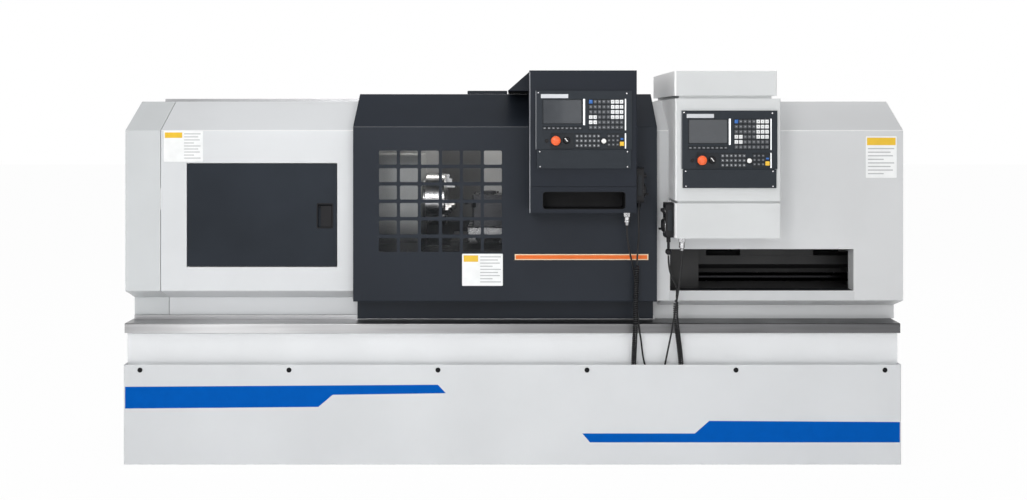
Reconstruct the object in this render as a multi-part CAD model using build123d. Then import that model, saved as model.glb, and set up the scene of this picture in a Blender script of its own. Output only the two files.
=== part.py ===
from build123d import *
import math
import os

# A flat-bed turning lathe with two carriages and two control consoles.
# X runs to the right along the spindle, -Y is the operator's side, +Z is up, and the
# origin is on the floor in the middle of the machine. Lengths are in millimetres.

# Base, apron and tray
base_length = 3400.0
base_depth = 940.0
floor_gap = 14.0
base_top = 612.0
base_wall = 8.0
base_plate = 10.0
bulkhead_x = 850.0
foot_plate = 140.0
foot_plate_thick = 20.0
anchor_offset = 40.0
anchor_r = 11.0
pad_r = 45.0
stem_r = 10.0
close_fit = 0.3
apron_gap = 47.0
apron_sheet = 3.0
apron_top = 442.0
apron_bottom = 6.0
apron_screw_drop = 23.0
apron_screw_count = 6
apron_screw_margin = 72.0
apron_screw_r = 11.0
tray_sheet = 4.0
tray_lip = 38.0
tray_end_overhang = 7.5
tray_front_overhang = 15.0
tray_back_overhang = 10.0
tray_nose = 30.0
chute_left = -450.0
chute_right = 650.0
chute_half = 150.0

# Covers
cover_sheet = 2.5
cover_overhang = 10.0
cover_front = base_depth / 2 + cover_overhang
cover_toe = 360.0
cover_toe_height = 96.0
cover_belly_height = 142.0
tail_toe_height = 62.0
tail_belly_height = 100.5
cover_height = 980.0
brow_drop = 130.5
brow_run = 220.0
end_cover_left = -1706.0
end_cover_right = -1551.5
headstock_cover_left = -1549.0
headstock_cover_right = -640.0
tail_cover_left = 560.0
tail_step_x = 656.0
tail_cover_right = 1722.0
roof_edge = 50.0
bar_hole_r = 60.0

# Access door with its latch, and the slot in the tail cover
door_left = -1433.0
door_width = 658.0
door_low = 251.0
door_height = 452.0
door_gap = 3.0
door_sheet = 2.0
door_depth = 22.0
door_pin_inset = 5.0
door_pin_r = 2.5
door_pin_length = 14.0
latch_left = 575.0
latch_width = 63.0
latch_low = 172.0
latch_height = 101.0
latch_depth = 16.0
slot_left = 694.0
slot_right = 1503.0
slot_low = 144.0
slot_high = 327.0
slot_depth = 80.0

# Sliding hood
hood_left = -696.0
hood_right = 631.0
hood_sheet = 3.0
hood_stand_off = 45.0
hood_rise = 33.6
hood_return = 30.0
hood_toe = 390.0
hood_toe_height = 90.0
hood_belly_height = 103.0
hood_gap = 4.0
hood_roof_overlap = 42.0
grid_left = -583.0
grid_low = 320.0
grid_count = 6
cell_width = 78.0
cell_height = 61.0
cell_pitch_x = 91.7
cell_pitch_z = 76.2
cell_corner = 6.0
pane_margin = 17.0
pane_thick = 4.0
rail_height = 18.0
rail_width = 20.0
rail_y = 60.0
toe_rail_width = 12.0
cap_left = -210.0
cap_width = 185.0
cap_front = -200.0
cap_depth = 200.0
cap_height = 18.0
toe_rail_gap = 6.0

# Bed and headstock
bed_left = -1180.0
bed_right = 1600.0
bed_height = 264.0
way_y = 160.0
way_head = 45.0
way_depth = 40.0
web_thick = 34.0
vee_half = 15.0
vee_height = 15.0
rib_thick = 20.0
rib_pitch = 300.0
centre_height = 250.0
headstock_left = -1150.0
headstock_right = -430.0
headstock_half = 215.0
headstock_top = 215.0
screw_y = -262.0
screw_drop = 90.0
screw_r = 20.0

# Spindle, chuck and drive
spindle_r = 60.0
spindle_bore_r = 41.0
spindle_rear = -1340.0
spindle_nose_gap = 3.0
spindle_flange_r = 95.0
spindle_flange_thick = 12.0
pulley_left = -1300.0
pulley_width = 100.0
pulley_rim = 8.0
spindle_pulley_r = 110.0
motor_pulley_r = 70.0
belt_thick = 8.0
motor_height = 144.0
motor_left = -1600.0
motor_right = -1330.0
motor_half = 100.0
motor_shaft_r = 19.0
chuck_r = 125.0
chuck_length = 97.0
chuck_bore_r = 45.0
jaw_slot = 30.0
jaw_slot_depth = 40.0
jaw_tee = 46.0
jaw_tee_height = 14.0
jaw_inner_r = 55.0
jaw_outer_r = 119.0
jaw_step = 13.0

# Carriages, tailstock and quill
carriage_a_x = -110.0
carriage_b_x = 720.0
saddle_half = 180.0
saddle_depth = 215.0
saddle_thick = 70.0
saddle_apron = 130.0
apron_clear = 10.0
apron_front = 300.0
guide_half = 60.0
guide_height = 25.0
slide_half = 95.0
slide_thick = 70.0
slide_front = -330.0
slide_back = 60.0
turret_y = -170.0
turret_half = 75.0
turret_height = 145.0
tool_size = 20.0
tool_reach = 40.0
spigot_r = 25.0
tailstock_left = 1060.0
tailstock_right = 1400.0
quill_r = 45.0
quill_tip = 930.0
quill_back = 1370.0
cone_length = 80.0

# Rear units
cabinet_left = -1500.0
cabinet_width = 1000.0
cabinet_low = 40.0
cabinet_height = 880.0
panel_low = 240.0
panel_high = 120.0
panel_pitch = 220.0
panel_top_gap = 50.0
cabinet_depth = 230.0
cabinet_sheet = 3.0
cabinet_door_depth = 22.0
barrel_r = 6.0
barrel_gap = 1.0
barrel_length = 30.0
barrel_margin = 90.0
barrel_pin_r = 3.0
barrel_pin_length = 18.0
leaf_thick = 3.0
leaf_reach = 32.0
tank_front = -170.0
tank_back = 660.0
tank_height = 320.0
tank_sheet = 4.0
tank_clear = 20.0
lamp_left = -500.0
lamp_right = 420.0

# Consoles
console_gap = 10.0
console_a_left = 71.0
console_a_right = 523.0
console_a_depth = 170.0
console_a_rise = 125.0
console_a_height = 599.0
console_a_seam = 110.0
cheek_reach = 91.0
arm_clear = 10.0
pocket_margin = 56.0
pocket_width = 348.0
pocket_low = 15.0
pocket_height = 74.0
pocket_depth = 120.0
console_b_left = 687.0
console_b_right = 1131.0
console_b_depth = 210.0
console_b_rise = 7.0
console_b_height = 432.0
console_b_box = 148.0
console_seam = 10.0
brow_box_left = 683.0
brow_box_right = 1115.0
brow_box_height = 104.0
brow_box_gap = 12.0
console_edge = 5.0
console_wall = 6.0
arm_heel = 130.0
arm_rear = 460.0
arm_rear_height = 70.0
arm_shoulder = 60.0
fascia_seat = 8.0

# Control fascia, measured from its upper left corner
fascia_width = 404.0
fascia_height = 326.0
fascia_split = 246.0
fascia_thick = 8.0
fascia_a_left = 97.0
fascia_a_drop = 86.0
fascia_b_left = 711.0
fascia_b_drop = 51.0
screen_area = (29.0, 35.0, 167.0, 105.0)
keypad_area = (222.0, 34.0, 157.0, 132.0)
panel_area = (64.0, 177.0, 315.0, 66.0)
soft_key_area = (29.0, 149.0, 167.0, 16.0)
e_stop_at = (84.0, 209.0)
knob_at = (130.0, 207.6)
cycle_at = (286.0, 211.0)
e_stop_r = 20.0
e_stop_shaft_r = 11.0
e_stop_stand = 30.0
knob_r = 15.5
knob_height = 16.0
knob_shaft_r = 5.0
cycle_r = 10.0
cycle_stand = 5.0
key_stand = 2.0
mat_thick = 1.0

# Hand pendants, connectors and their cords
pendant_thick = 36.0
pendant_depth = 80.0
pendant_height = 148.0
pendant_y = -610.0
wheel_r = 27.0
wheel_thick = 12.0
small_knob_r = 9.0
small_knob_height = 13.0
clip_ball_r = 14.0
connector_r = 13.0
connector_y = -600.0
connector_length = 62.0
strain_length = 22.0
clip_sleeve = 41.0
connector_a_x = 492.0
connector_b_x = 728.0
lead_r = 4.0
coil_r = 12.0

# Heights and depths that follow from the sizes above
deck = base_top + tray_sheet
way_top = deck + bed_height
axis_z = way_top + centre_height
roof = deck + cover_height
brow = roof - brow_drop
brow_y = -cover_front + brow_run
back_y = base_depth / 2 + tray_back_overhang
inner_back = back_y - cover_sheet
base_front = -base_depth / 2
apron_face = base_front - apron_gap - apron_sheet
hood_front = -cover_front - hood_stand_off
hood_roof = roof + hood_rise
hood_brow = brow + hood_rise / 2
hood_brow_y = brow_y - hood_stand_off
hood_back = roof_edge + hood_roof_overlap
head_out = way_y + way_head
head_in = way_y - way_head + 10.0
web_out = way_y + web_thick / 2
web_in = way_y - web_thick / 2
screw_z = way_top - screw_drop
chuck_back = headstock_right + spindle_nose_gap + spindle_flange_thick
chuck_front = chuck_back + chuck_length
motor_z = deck + motor_height
door_pin_x = door_left + door_pin_inset
door_pin_y = -cover_front + door_pin_inset
cabinet_front = back_y + cabinet_depth
barrel_x = cabinet_left - barrel_gap - barrel_r
barrel_y = cabinet_front + close_fit + cabinet_door_depth / 2
pulley_right = pulley_left + pulley_width
door_z = deck + door_low
saddle_top = way_top + saddle_thick
guide_top = saddle_top + guide_height
slide_top = saddle_top + slide_thick
console_a_back = hood_front - console_gap
console_a_front = console_a_back - console_a_depth
console_a_top = roof + console_a_rise
console_a_bottom = console_a_top - console_a_height
console_b_back = -cover_front
console_b_front = console_b_back - console_b_depth
console_b_top = roof + console_b_rise
console_b_bottom = console_b_top - console_b_height
box_b_top = console_b_bottom - console_seam
box_b_bottom = box_b_top - console_b_box
fascia_a = (fascia_a_left, console_a_front, console_a_top - fascia_a_drop)
fascia_b = (fascia_b_left, console_b_front, console_b_top - fascia_b_drop)
pendant_b_top = box_b_top - 2.0
pendant_a_top = console_a_bottom + pendant_height + 38.0
pendant_b_x = console_b_left - pendant_thick / 2
clip_ball_z = pendant_b_top - pendant_height - strain_length - clip_sleeve


def block(x, y, z):
    """A box between pairs of low and high x, y and z."""
    size = [high - low for low, high in (x, y, z)]
    centre = [(high + low) / 2 for low, high in (x, y, z)]
    return Pos(*centre) * Box(*size)


def rod_x(y, z, radius, x_low, x_high):
    return Pos(x_low, y, z) * Rot(0, 90, 0) * Cylinder(
        radius, x_high - x_low, align=(Align.CENTER, Align.CENTER, Align.MIN))


def rod_y(x, z, radius, y_low, y_high):
    return Pos(x, y_low, z) * Rot(-90, 0, 0) * Cylinder(
        radius, y_high - y_low, align=(Align.CENTER, Align.CENTER, Align.MIN))


def rod_z(x, y, radius, z_low, z_high):
    return Pos(x, y, z_low) * Cylinder(
        radius, z_high - z_low, align=(Align.CENTER, Align.CENTER, Align.MIN))


def outline(points):
    return make_face(Polyline(*points, close=True))


def along_x(face, x_low, x_high):
    """Extrude a face drawn in (y, z) from x_low to x_high."""
    return extrude(Plane.YZ.offset(x_low) * face, amount=x_high - x_low, dir=(1, 0, 0))


def along_y(face, y_low, y_high):
    """Extrude a face drawn in (x, z) from y_low to y_high."""
    return extrude(Plane.XZ.offset(-y_low) * face, amount=y_high - y_low, dir=(0, 1, 0))


def along_z(face, z_low, z_high):
    return extrude(Plane.XY.offset(z_low) * face, amount=z_high - z_low, dir=(0, 0, 1))


def turned(profile, axis_origin, direction):
    """Revolve (distance along the axis, radius) pairs about an axis."""
    side = (0, 0, 1) if direction[2] == 0 else (1, 0, 0)
    plane = Plane(origin=axis_origin, x_dir=direction, z_dir=Vector(*direction).cross(Vector(*side)))
    return revolve(plane * outline(profile), Axis(axis_origin, direction))


def inner_path(points, depth):
    """The path that lies depth to the right of the points, with mitred corners."""
    normals = []
    for (a, b), (c, d) in zip(points, points[1:]):
        run = math.hypot(c - a, d - b)
        normals.append(((d - b) / run, (a - c) / run))
    normals = [normals[0]] + normals + [normals[-1]]
    path = []
    for (a, b), (p, q), (r, s) in zip(points, normals, normals[1:]):
        scale = depth / (1 + p * r + q * s)
        path.append((a + scale * (p + r), b + scale * (q + s)))
    return path


def bends(points, inside, outside):
    """One radius for each corner: inside on a right turn, outside on a left one."""
    radii = []
    for (a, b), (c, d), (e, f) in zip(points, points[1:], points[2:]):
        right = (c - a) * (f - d) - (d - b) * (e - c) < 0
        radii.append(inside if right else outside)
    return radii


def folded(points, sheet, bend=3.0):
    """A folded sheet's section: the outer face follows the points, the metal is on their right."""
    inner = inner_path(points, sheet)
    outer_line = FilletPolyline(*points, radius=bends(points, bend + sheet, bend))
    inner_line = FilletPolyline(*inner, radius=bends(points, bend, bend + sheet))
    ends = [Line(points[0], inner[0]), Line(points[-1], inner[-1])]
    return make_face([*outer_line.edges(), *inner_line.edges(), *ends])


def closed_section(points, corners, sheet, bend=3.0):
    """The area under a folded sheet's outer face, closed through the given corners."""
    outer_line = FilletPolyline(*points, radius=bends(points, bend + sheet, bend))
    return make_face([*outer_line.edges(), *Polyline(points[-1], *corners, points[0]).edges()])


def band(points, depth, sheet, bend=3.0):
    """A flat band that follows a folded sheet's outer face to a depth on its right."""
    outer_line = FilletPolyline(*points, radius=bends(points, bend + sheet, bend))
    back = inner_path(points, depth)[::-1]
    return make_face([*outer_line.edges(), *Polyline(points[-1], *back, points[0]).edges()])


def fuse(shapes):
    whole = shapes[0]
    for shape in shapes[1:]:
        whole += shape
    return whole


def foot_places():
    outer = base_length / 2 - base_wall - foot_plate / 2
    inner = bulkhead_x - base_wall / 2 - foot_plate / 2
    side = base_depth / 2 - base_wall - foot_plate / 2
    return [(x, y) for y in (-side, side) for x in (-outer, -inner, inner, outer)]


def anchor_places():
    corners = [place for place in foot_places() if abs(place[0]) > bulkhead_x]
    return [(x + math.copysign(anchor_offset, x), y - math.copysign(anchor_offset, y))
            for x, y in corners]


def apron_screw_places():
    span = base_length / 2 - apron_screw_margin
    pitch = 2 * span / (apron_screw_count - 1)
    return [-span + pitch * i for i in range(apron_screw_count)]


def vee(gap=0.0):
    """The raised V of the front way, lifted by the gap."""
    return [(-way_y - vee_half, way_top + gap), (-way_y, way_top + vee_height + gap),
            (-way_y + vee_half, way_top + gap)]


def base_frame():
    """The plates of the welded base: walls, bulkheads, top plate, foot plates and screw bosses."""
    half = base_length / 2
    side = base_depth / 2
    ceiling = base_top - base_plate
    inside = (-side + base_wall, side - base_wall)
    front = block((-half, half), (-side, -side + base_wall), (floor_gap, base_top))
    rear = block((-half, half), (side - base_wall, side), (floor_gap, base_top))
    rear -= block((chute_left - tank_clear, chute_right + tank_clear), (side - base_wall, side),
                  (floor_gap, floor_gap + tank_height + tank_clear))
    plates = [block((x, x + base_wall), inside, (floor_gap, base_top)) for x in (-half, half - base_wall)]
    for x in (-bulkhead_x, bulkhead_x):
        plates.append(block((x - base_wall / 2, x + base_wall / 2), inside, (floor_gap, ceiling)))
    top = block((-half + base_wall, half - base_wall), inside, (ceiling, base_top))
    plates.append(top - block((chute_left, chute_right), (-chute_half, chute_half), (ceiling, base_top)))
    anchors = fuse([rod_z(x, y, anchor_r, floor_gap, floor_gap + foot_plate_thick)
                    for x, y in anchor_places()])
    for x, y in foot_places():
        reach = foot_plate / 2
        plate = block((x - reach, x + reach), (y - reach, y + reach),
                      (floor_gap, floor_gap + foot_plate_thick))
        plate -= rod_z(x, y, stem_r + close_fit, floor_gap, floor_gap + foot_plate_thick)
        plates.append(plate - anchors)
    screw_z_line = apron_top - apron_screw_drop
    for x in apron_screw_places():
        front -= rod_y(x, screw_z_line, 4.2, base_front, base_front + base_wall)
        boss = rod_y(x, screw_z_line, 12.0, base_front - apron_gap, base_front)
        plates.append(boss - rod_y(x, screw_z_line, 4.2, base_front - apron_gap, base_front))
    return [front, rear, *plates]


def levelling_feet():
    plate_top = floor_gap + foot_plate_thick
    profile = [(0, 0), (0, pad_r), (5, pad_r), (8, pad_r - 3), (8, 20), (floor_gap, 18),
               (floor_gap, stem_r), (plate_top + 26, stem_r), (plate_top + 28, stem_r - 2),
               (plate_top + 28, 0)]
    foot = turned(profile, (0, 0, 0), (0, 0, 1))
    foot += along_z(RegularPolygon(17, 6), plate_top, plate_top + 12)
    return [Pos(x, y, 0) * foot for x, y in foot_places()]


def front_apron():
    half = base_length / 2
    path = [(half, base_front), (half, apron_face), (-half, apron_face), (-half, base_front)]
    sheet = along_z(folded(path, apron_sheet), apron_bottom, apron_top)
    for x in apron_screw_places():
        sheet -= rod_y(x, apron_top - apron_screw_drop, 4.5, apron_face, apron_face + apron_sheet)
    return sheet


def apron_screws():
    profile = [(0, 0), (0, 7), (2, apron_screw_r - 1), (5, apron_screw_r), (5, 4),
               (5 + 26, 4), (5 + 26, 0)]
    z = apron_top - apron_screw_drop
    return [turned(profile, (x, apron_face - 5, z), (0, 1, 0)) for x in apron_screw_places()]


def chip_tray():
    half = base_length / 2 + tray_end_overhang
    front = base_front - tray_front_overhang
    low = base_top - tray_lip
    tray = block((-half, half), (front, back_y), (low, deck))
    tray = fillet(tray.edges().filter_by(Axis.X).group_by(Axis.Z)[-1].group_by(Axis.Y)[0], 6)
    tray -= block((-half + tray_sheet, half - tray_sheet), (front + tray_sheet, back_y - tray_sheet),
                  (low, base_top))
    tray -= block((chute_left, chute_right), (-chute_half, chute_half), (base_top, deck))
    lip_y, lip_z = (front + tray_sheet, back_y), (low, deck)
    ends = [block(sorted((side * half, side * (half - tray_sheet))), lip_y, lip_z) for side in (-1, 1)]
    rear = block((-half + tray_sheet, half - tray_sheet), (back_y - tray_sheet, back_y), lip_z)
    nose = block((-half, half), (front, front + tray_nose), lip_z) - ends[0] - ends[1]
    sheet = block((-half + tray_sheet, half - tray_sheet), (front + tray_nose, back_y - tray_sheet),
                  (base_top, deck))
    return [tray & piece for piece in (nose, sheet, rear, *ends)]


def bed():
    def rail(side, top):
        points = [(head_out, deck), (head_out, deck + 24), (web_out, deck + 44),
                  (web_out, way_top - way_depth - 24), (head_out, way_top - way_depth), *top,
                  (head_in, way_top - way_depth), (web_in, way_top - way_depth - 24),
                  (web_in, deck + 30), (head_in, deck + 16), (head_in, deck)]
        return outline([(side * y, z) for y, z in points])

    front_top = [(head_out, way_top), *[(-y, z) for y, z in vee()], (head_in, way_top)]
    rear_top = [(head_out, way_top), (head_in, way_top)]
    rails = [along_x(rail(-1, front_top), bed_left, bed_right),
             along_x(rail(1, rear_top), bed_left, bed_right)]
    ribs = []
    floor, ceiling = deck + 40, way_top - way_depth
    count = round((bed_right - bed_left - 2 * rib_thick) / rib_pitch)
    pitch = (bed_right - bed_left - 2 * rib_thick) / count
    for i in range(count):
        start = bed_left + rib_thick + i * pitch
        lean = 1 if i % 2 == 0 else -1
        rib = outline([(start, -lean * web_in - lean * 1), (start + rib_thick, -lean * web_in - lean * 1),
                       (start + pitch, lean * web_in + lean * 1),
                       (start + pitch - rib_thick, lean * web_in + lean * 1)])
        ribs.append(along_z(rib, floor, ceiling))
    ends = [block((x, x + rib_thick), (-web_in - 1, web_in + 1), (deck, ceiling))
            for x in (bed_left, bed_right - rib_thick)]
    casting = fuse(rails + ribs + ends)
    for x in (headstock_right + 10, bed_right - 60):
        bracket = block((x, x + 40), (screw_y - 28, -web_out), (screw_z - 36, screw_z + 36))
        casting += fillet(bracket.edges().filter_by(Axis.X).group_by(Axis.Y)[0], 12)
        casting -= rod_x(screw_y, screw_z, screw_r - 5 + close_fit, x, x + 40)
    return casting


def z_screw():
    left, right = headstock_right + 10, bed_right - 20
    journal = screw_r - 5
    profile = [(0, 0), (0, journal), (40, journal), (40, screw_r), (right - left - 40, screw_r),
               (right - left - 40, journal), (right - left, journal), (right - left, 0)]
    return turned(profile, (left, screw_y, screw_z), (1, 0, 0))


def headstock():
    top = axis_z + headstock_top
    waist, shoulder = headstock_half - 25, 40.0
    half = [(headstock_half, way_top), (headstock_half, way_top + 60), (waist, way_top + 84),
            (waist, top - 60), (waist - 50, top)]
    points = [(-y, z) for y, z in half] + half[::-1]
    casting = along_x(outline(points), headstock_left, headstock_right)
    groove = [(-way_y - vee_half, way_top), *vee(close_fit), (-way_y + vee_half, way_top)]
    casting -= along_x(outline(groove), headstock_left, headstock_right)
    casting -= rod_x(0, axis_z, spindle_r + close_fit, headstock_left, headstock_right)
    for x in (headstock_left, headstock_right - 30):
        casting -= rod_x(0, axis_z, spindle_flange_r, x, x + 30) - rod_x(
            0, axis_z, spindle_flange_r - 16, x, x + 30)
    for i in range(3):
        x = headstock_left + 150 + i * 180
        casting -= block((x, x + 90), (-waist, -waist + 12), (axis_z - 120, axis_z + 100))
        casting -= block((x, x + 90), (waist - 12, waist), (axis_z - 120, axis_z + 100))
    return casting


def spindle():
    reach = chuck_back - spindle_rear
    start = pulley_left - spindle_rear
    end = start + pulley_width
    rim_r = spindle_pulley_r + 8
    profile = [(0, spindle_bore_r), (0, spindle_r - 8), (20, spindle_r - 6), (start, spindle_r - 6),
               (start, rim_r), (start + pulley_rim, rim_r), (start + pulley_rim, spindle_pulley_r),
               (end - pulley_rim, spindle_pulley_r), (end - pulley_rim, rim_r), (end, rim_r),
               (end, spindle_r), (reach - spindle_flange_thick, spindle_r),
               (reach - spindle_flange_thick, spindle_flange_r), (reach, spindle_flange_r),
               (reach, spindle_bore_r)]
    return turned(profile, (spindle_rear, 0, axis_z), (1, 0, 0))


def jaw_prism(points, gap=0.0):
    """A T shape in (across, along the axis) for a jaw or, with a gap, its slot."""
    neck, tee = jaw_slot / 2 + gap, jaw_tee / 2 + gap
    floor = chuck_front - jaw_slot_depth - gap
    step = chuck_front - jaw_slot_depth + jaw_tee_height + gap
    return outline([(-tee, floor), (tee, floor), (tee, step), (neck, step), (neck, points),
                    (-neck, points), (-neck, step), (-tee, step)])


def radial(face, inner_r, outer_r):
    """Extrude a face in (across, x) upwards from the spindle axis."""
    plane = Plane(origin=(0, 0, axis_z + inner_r), x_dir=(0, 1, 0), z_dir=(0, 0, -1))
    return extrude(plane * face, amount=outer_r - inner_r, dir=(0, 0, 1))


def about_spindle(shape, angle):
    return shape.rotate(Axis((0, 0, axis_z), (1, 0, 0)), angle)


def chuck_body():
    profile = [(0, chuck_bore_r), (0, chuck_r - 3), (3, chuck_r), (chuck_length - 6, chuck_r),
               (chuck_length, chuck_r - 6), (chuck_length, chuck_bore_r)]
    body = turned(profile, (chuck_back, 0, axis_z), (1, 0, 0))
    slot = radial(jaw_prism(chuck_front + 1, close_fit), chuck_bore_r - 5, chuck_r + 5)
    for i in range(3):
        body -= about_spindle(slot, 120 * i)
    return body


def chuck_jaw(index):
    jaw = radial(jaw_prism(chuck_front + 3 * jaw_step), jaw_inner_r, jaw_outer_r)
    reach = (jaw_outer_r - jaw_inner_r) / 3
    for i in range(1, 3):
        low = chuck_front + i * jaw_step
        jaw -= block((low, low + 2 * jaw_step + 5), (-jaw_slot, jaw_slot),
                     (axis_z + jaw_outer_r - i * reach, axis_z + jaw_outer_r + 5))
    return about_spindle(jaw, 120 * index)


def spindle_motor():
    body = block((motor_left, motor_right), (-motor_half, motor_half),
                 (motor_z - motor_half, motor_z + motor_half))
    body = fillet(body.edges().filter_by(Axis.X), 22)
    for i in range(5):
        z = motor_z - 56 + 28 * i
        for side in (-1, 1):
            reach = sorted((side * motor_half, side * (motor_half - 7)))
            body -= block((motor_left + 40, motor_right - 40), reach, (z - 5, z + 5))
    low = motor_z - motor_half
    body += block((motor_left + 10, motor_right - 10), (-motor_half - 30, motor_half + 30),
                  (deck, deck + 18))
    for y in (-motor_half + 34, motor_half - 50):
        body += block((motor_left + 30, motor_right - 30), (y, y + 16), (deck + 18, low + 4))
    return body - rod_x(0, motor_z, motor_shaft_r + close_fit, motor_right - 70, motor_right)


def motor_pulley():
    rim_r = motor_pulley_r + 8
    start = pulley_left - (motor_right - 66)
    end = start + pulley_width
    profile = [(0, 0), (0, motor_shaft_r), (start, motor_shaft_r), (start, rim_r),
               (start + pulley_rim, rim_r), (start + pulley_rim, motor_pulley_r),
               (end - pulley_rim, motor_pulley_r), (end - pulley_rim, rim_r), (end, rim_r), (end, 0)]
    return turned(profile, (motor_right - 66, 0, motor_z), (1, 0, 0))


def drive_belt():
    inner = make_hull([*(Pos(0, axis_z) * Circle(spindle_pulley_r + close_fit)).edges(),
                       *(Pos(0, motor_z) * Circle(motor_pulley_r + close_fit)).edges()])
    outer = make_hull([*(Pos(0, axis_z) * Circle(spindle_pulley_r + belt_thick)).edges(),
                       *(Pos(0, motor_z) * Circle(motor_pulley_r + belt_thick)).edges()])
    return along_x(outer - inner, pulley_left + pulley_rim + 1, pulley_right - pulley_rim - 1)


def cover_path(toe_height=cover_toe_height, belly_height=cover_belly_height):
    return [(-cover_toe, deck), (-cover_toe, deck + toe_height), (-cover_front, deck + belly_height),
            (-cover_front, brow), (brow_y, roof), (inner_back, roof)]


def end_wall(path, x, left_to_right=True):
    face = closed_section(path, [(inner_back, deck)], cover_sheet)
    return along_x(face, x, x + cover_sheet) if left_to_right else along_x(face, x - cover_sheet, x)


def end_cover():
    path = cover_path()
    cover = along_x(folded(path, cover_sheet), end_cover_left, end_cover_right)
    cover += end_wall(path, end_cover_left)
    cover -= rod_x(0, axis_z, bar_hole_r, end_cover_left, end_cover_left + cover_sheet)
    ring = rod_x(0, axis_z, bar_hole_r + 14, end_cover_left + cover_sheet, end_cover_left + 12)
    cover += ring - rod_x(0, axis_z, bar_hole_r, end_cover_left, end_cover_left + 12)
    return cover


def headstock_cover():
    cover = along_x(folded(cover_path(), cover_sheet), headstock_cover_left, headstock_cover_right)
    left, right = door_left - door_gap, door_left + door_width + door_gap
    low, high = door_z - door_gap, door_z + door_height + door_gap
    back = -cover_front + door_depth + 6
    cover -= block((left, right), (-cover_front, -cover_front + cover_sheet), (low, high))
    jamb = block((left - cover_sheet, right + cover_sheet), (-cover_front + cover_sheet, back),
                 (low - cover_sheet, high + cover_sheet))
    cover += jamb - block((left, right), (-cover_front, back), (low, high))
    cover += block((right - 16, right), (-cover_front + door_depth + close_fit, back), (low, high))
    for root, tip in door_pins():
        cover += rod_z(door_pin_x, door_pin_y, door_pin_r, *sorted((root, tip)))
    return cover


def door_pins():
    """Heights of the root and the tip of the access door's lower and upper hinge pin."""
    top = door_z + door_height
    return [(door_z - door_gap - cover_sheet, door_z + door_pin_length),
            (top + door_gap + cover_sheet, top - door_pin_length)]


def access_door():
    right, top = door_left + door_width, door_z + door_height
    panel = block((door_left, right), (-cover_front, -cover_front + door_depth), (door_z, top))
    panel -= block((door_left + door_sheet, right - door_sheet),
                   (-cover_front + door_sheet, -cover_front + door_depth),
                   (door_z + door_sheet, top - door_sheet))
    for z in (door_z + door_sheet, top - door_sheet - 60):
        panel += block((door_left + door_sheet, door_left + 14),
                       (-cover_front + door_sheet, -cover_front + door_depth), (z, z + 60))
    for root, tip in door_pins():
        end = tip + math.copysign(1, tip - root)
        panel -= rod_z(door_pin_x, door_pin_y, door_pin_r + close_fit, *sorted((root, end)))
    x, z = door_left + latch_left, door_z + latch_low
    cup = block((x - 2, x + latch_width + 2), (-cover_front, -cover_front + latch_depth + 2),
                (z - 2, z + latch_height + 2))
    panel += cup
    return panel - block((x, x + latch_width), (-cover_front, -cover_front + latch_depth),
                         (z, z + latch_height))


def latch_paddle():
    x, z = door_left + latch_left, door_z + latch_low
    paddle = block((x + 14, x + latch_width - 2), (-cover_front + 1, -cover_front + 6),
                   (z + 2, z + latch_height - 7))
    paddle = fillet(paddle.edges().filter_by(Axis.Y), 4)
    pin = rod_x(-cover_front + 9, z + latch_height - 9, 4.0, x + 0.5, x + latch_width - 0.5)
    neck = block((x + 20, x + latch_width - 8), (-cover_front + 5, -cover_front + 9),
                 (z + latch_height - 12, z + latch_height - 6))
    return paddle + neck + pin


def rear_cover():
    sheet = block((end_cover_left, tail_cover_right), (inner_back, back_y), (deck, roof))
    sheet += block((headstock_cover_right, tail_cover_left), (roof_edge, inner_back),
                   (roof - cover_sheet, roof))
    sheet += block((headstock_cover_right, tail_cover_left), (roof_edge, roof_edge + cover_sheet),
                   (roof - 26, roof - cover_sheet))
    return sheet


def tail_cover():
    neck_path = cover_path()
    path = cover_path(tail_toe_height, tail_belly_height)
    cover = along_x(folded(neck_path, cover_sheet), tail_cover_left, tail_step_x)
    cover += along_x(folded(path, cover_sheet), tail_step_x, tail_cover_right)
    step = [*path[:3], (-cover_front, deck + cover_belly_height + 20)]
    web = band(step, cover_belly_height - tail_belly_height, cover_sheet)
    cover += along_x(web, tail_step_x, tail_step_x + cover_sheet)
    cover += end_wall(path, tail_cover_right, False)
    low, high = deck + slot_low, deck + slot_high
    back = -cover_front + slot_depth
    cover -= block((slot_left, slot_right), (-cover_front, -cover_front + cover_sheet), (low, high))
    frame = block((slot_left - cover_sheet, slot_right + cover_sheet),
                  (-cover_front + cover_sheet, back), (low - cover_sheet, high + cover_sheet))
    return cover + (frame - block((slot_left, slot_right), (-cover_front, back), (low, high)))


def hood_path():
    return [(-hood_toe, deck + hood_gap), (-hood_toe, deck + hood_toe_height),
            (hood_front, deck + hood_belly_height), (hood_front, hood_brow),
            (hood_brow_y, hood_roof), (hood_back, hood_roof)]


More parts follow.
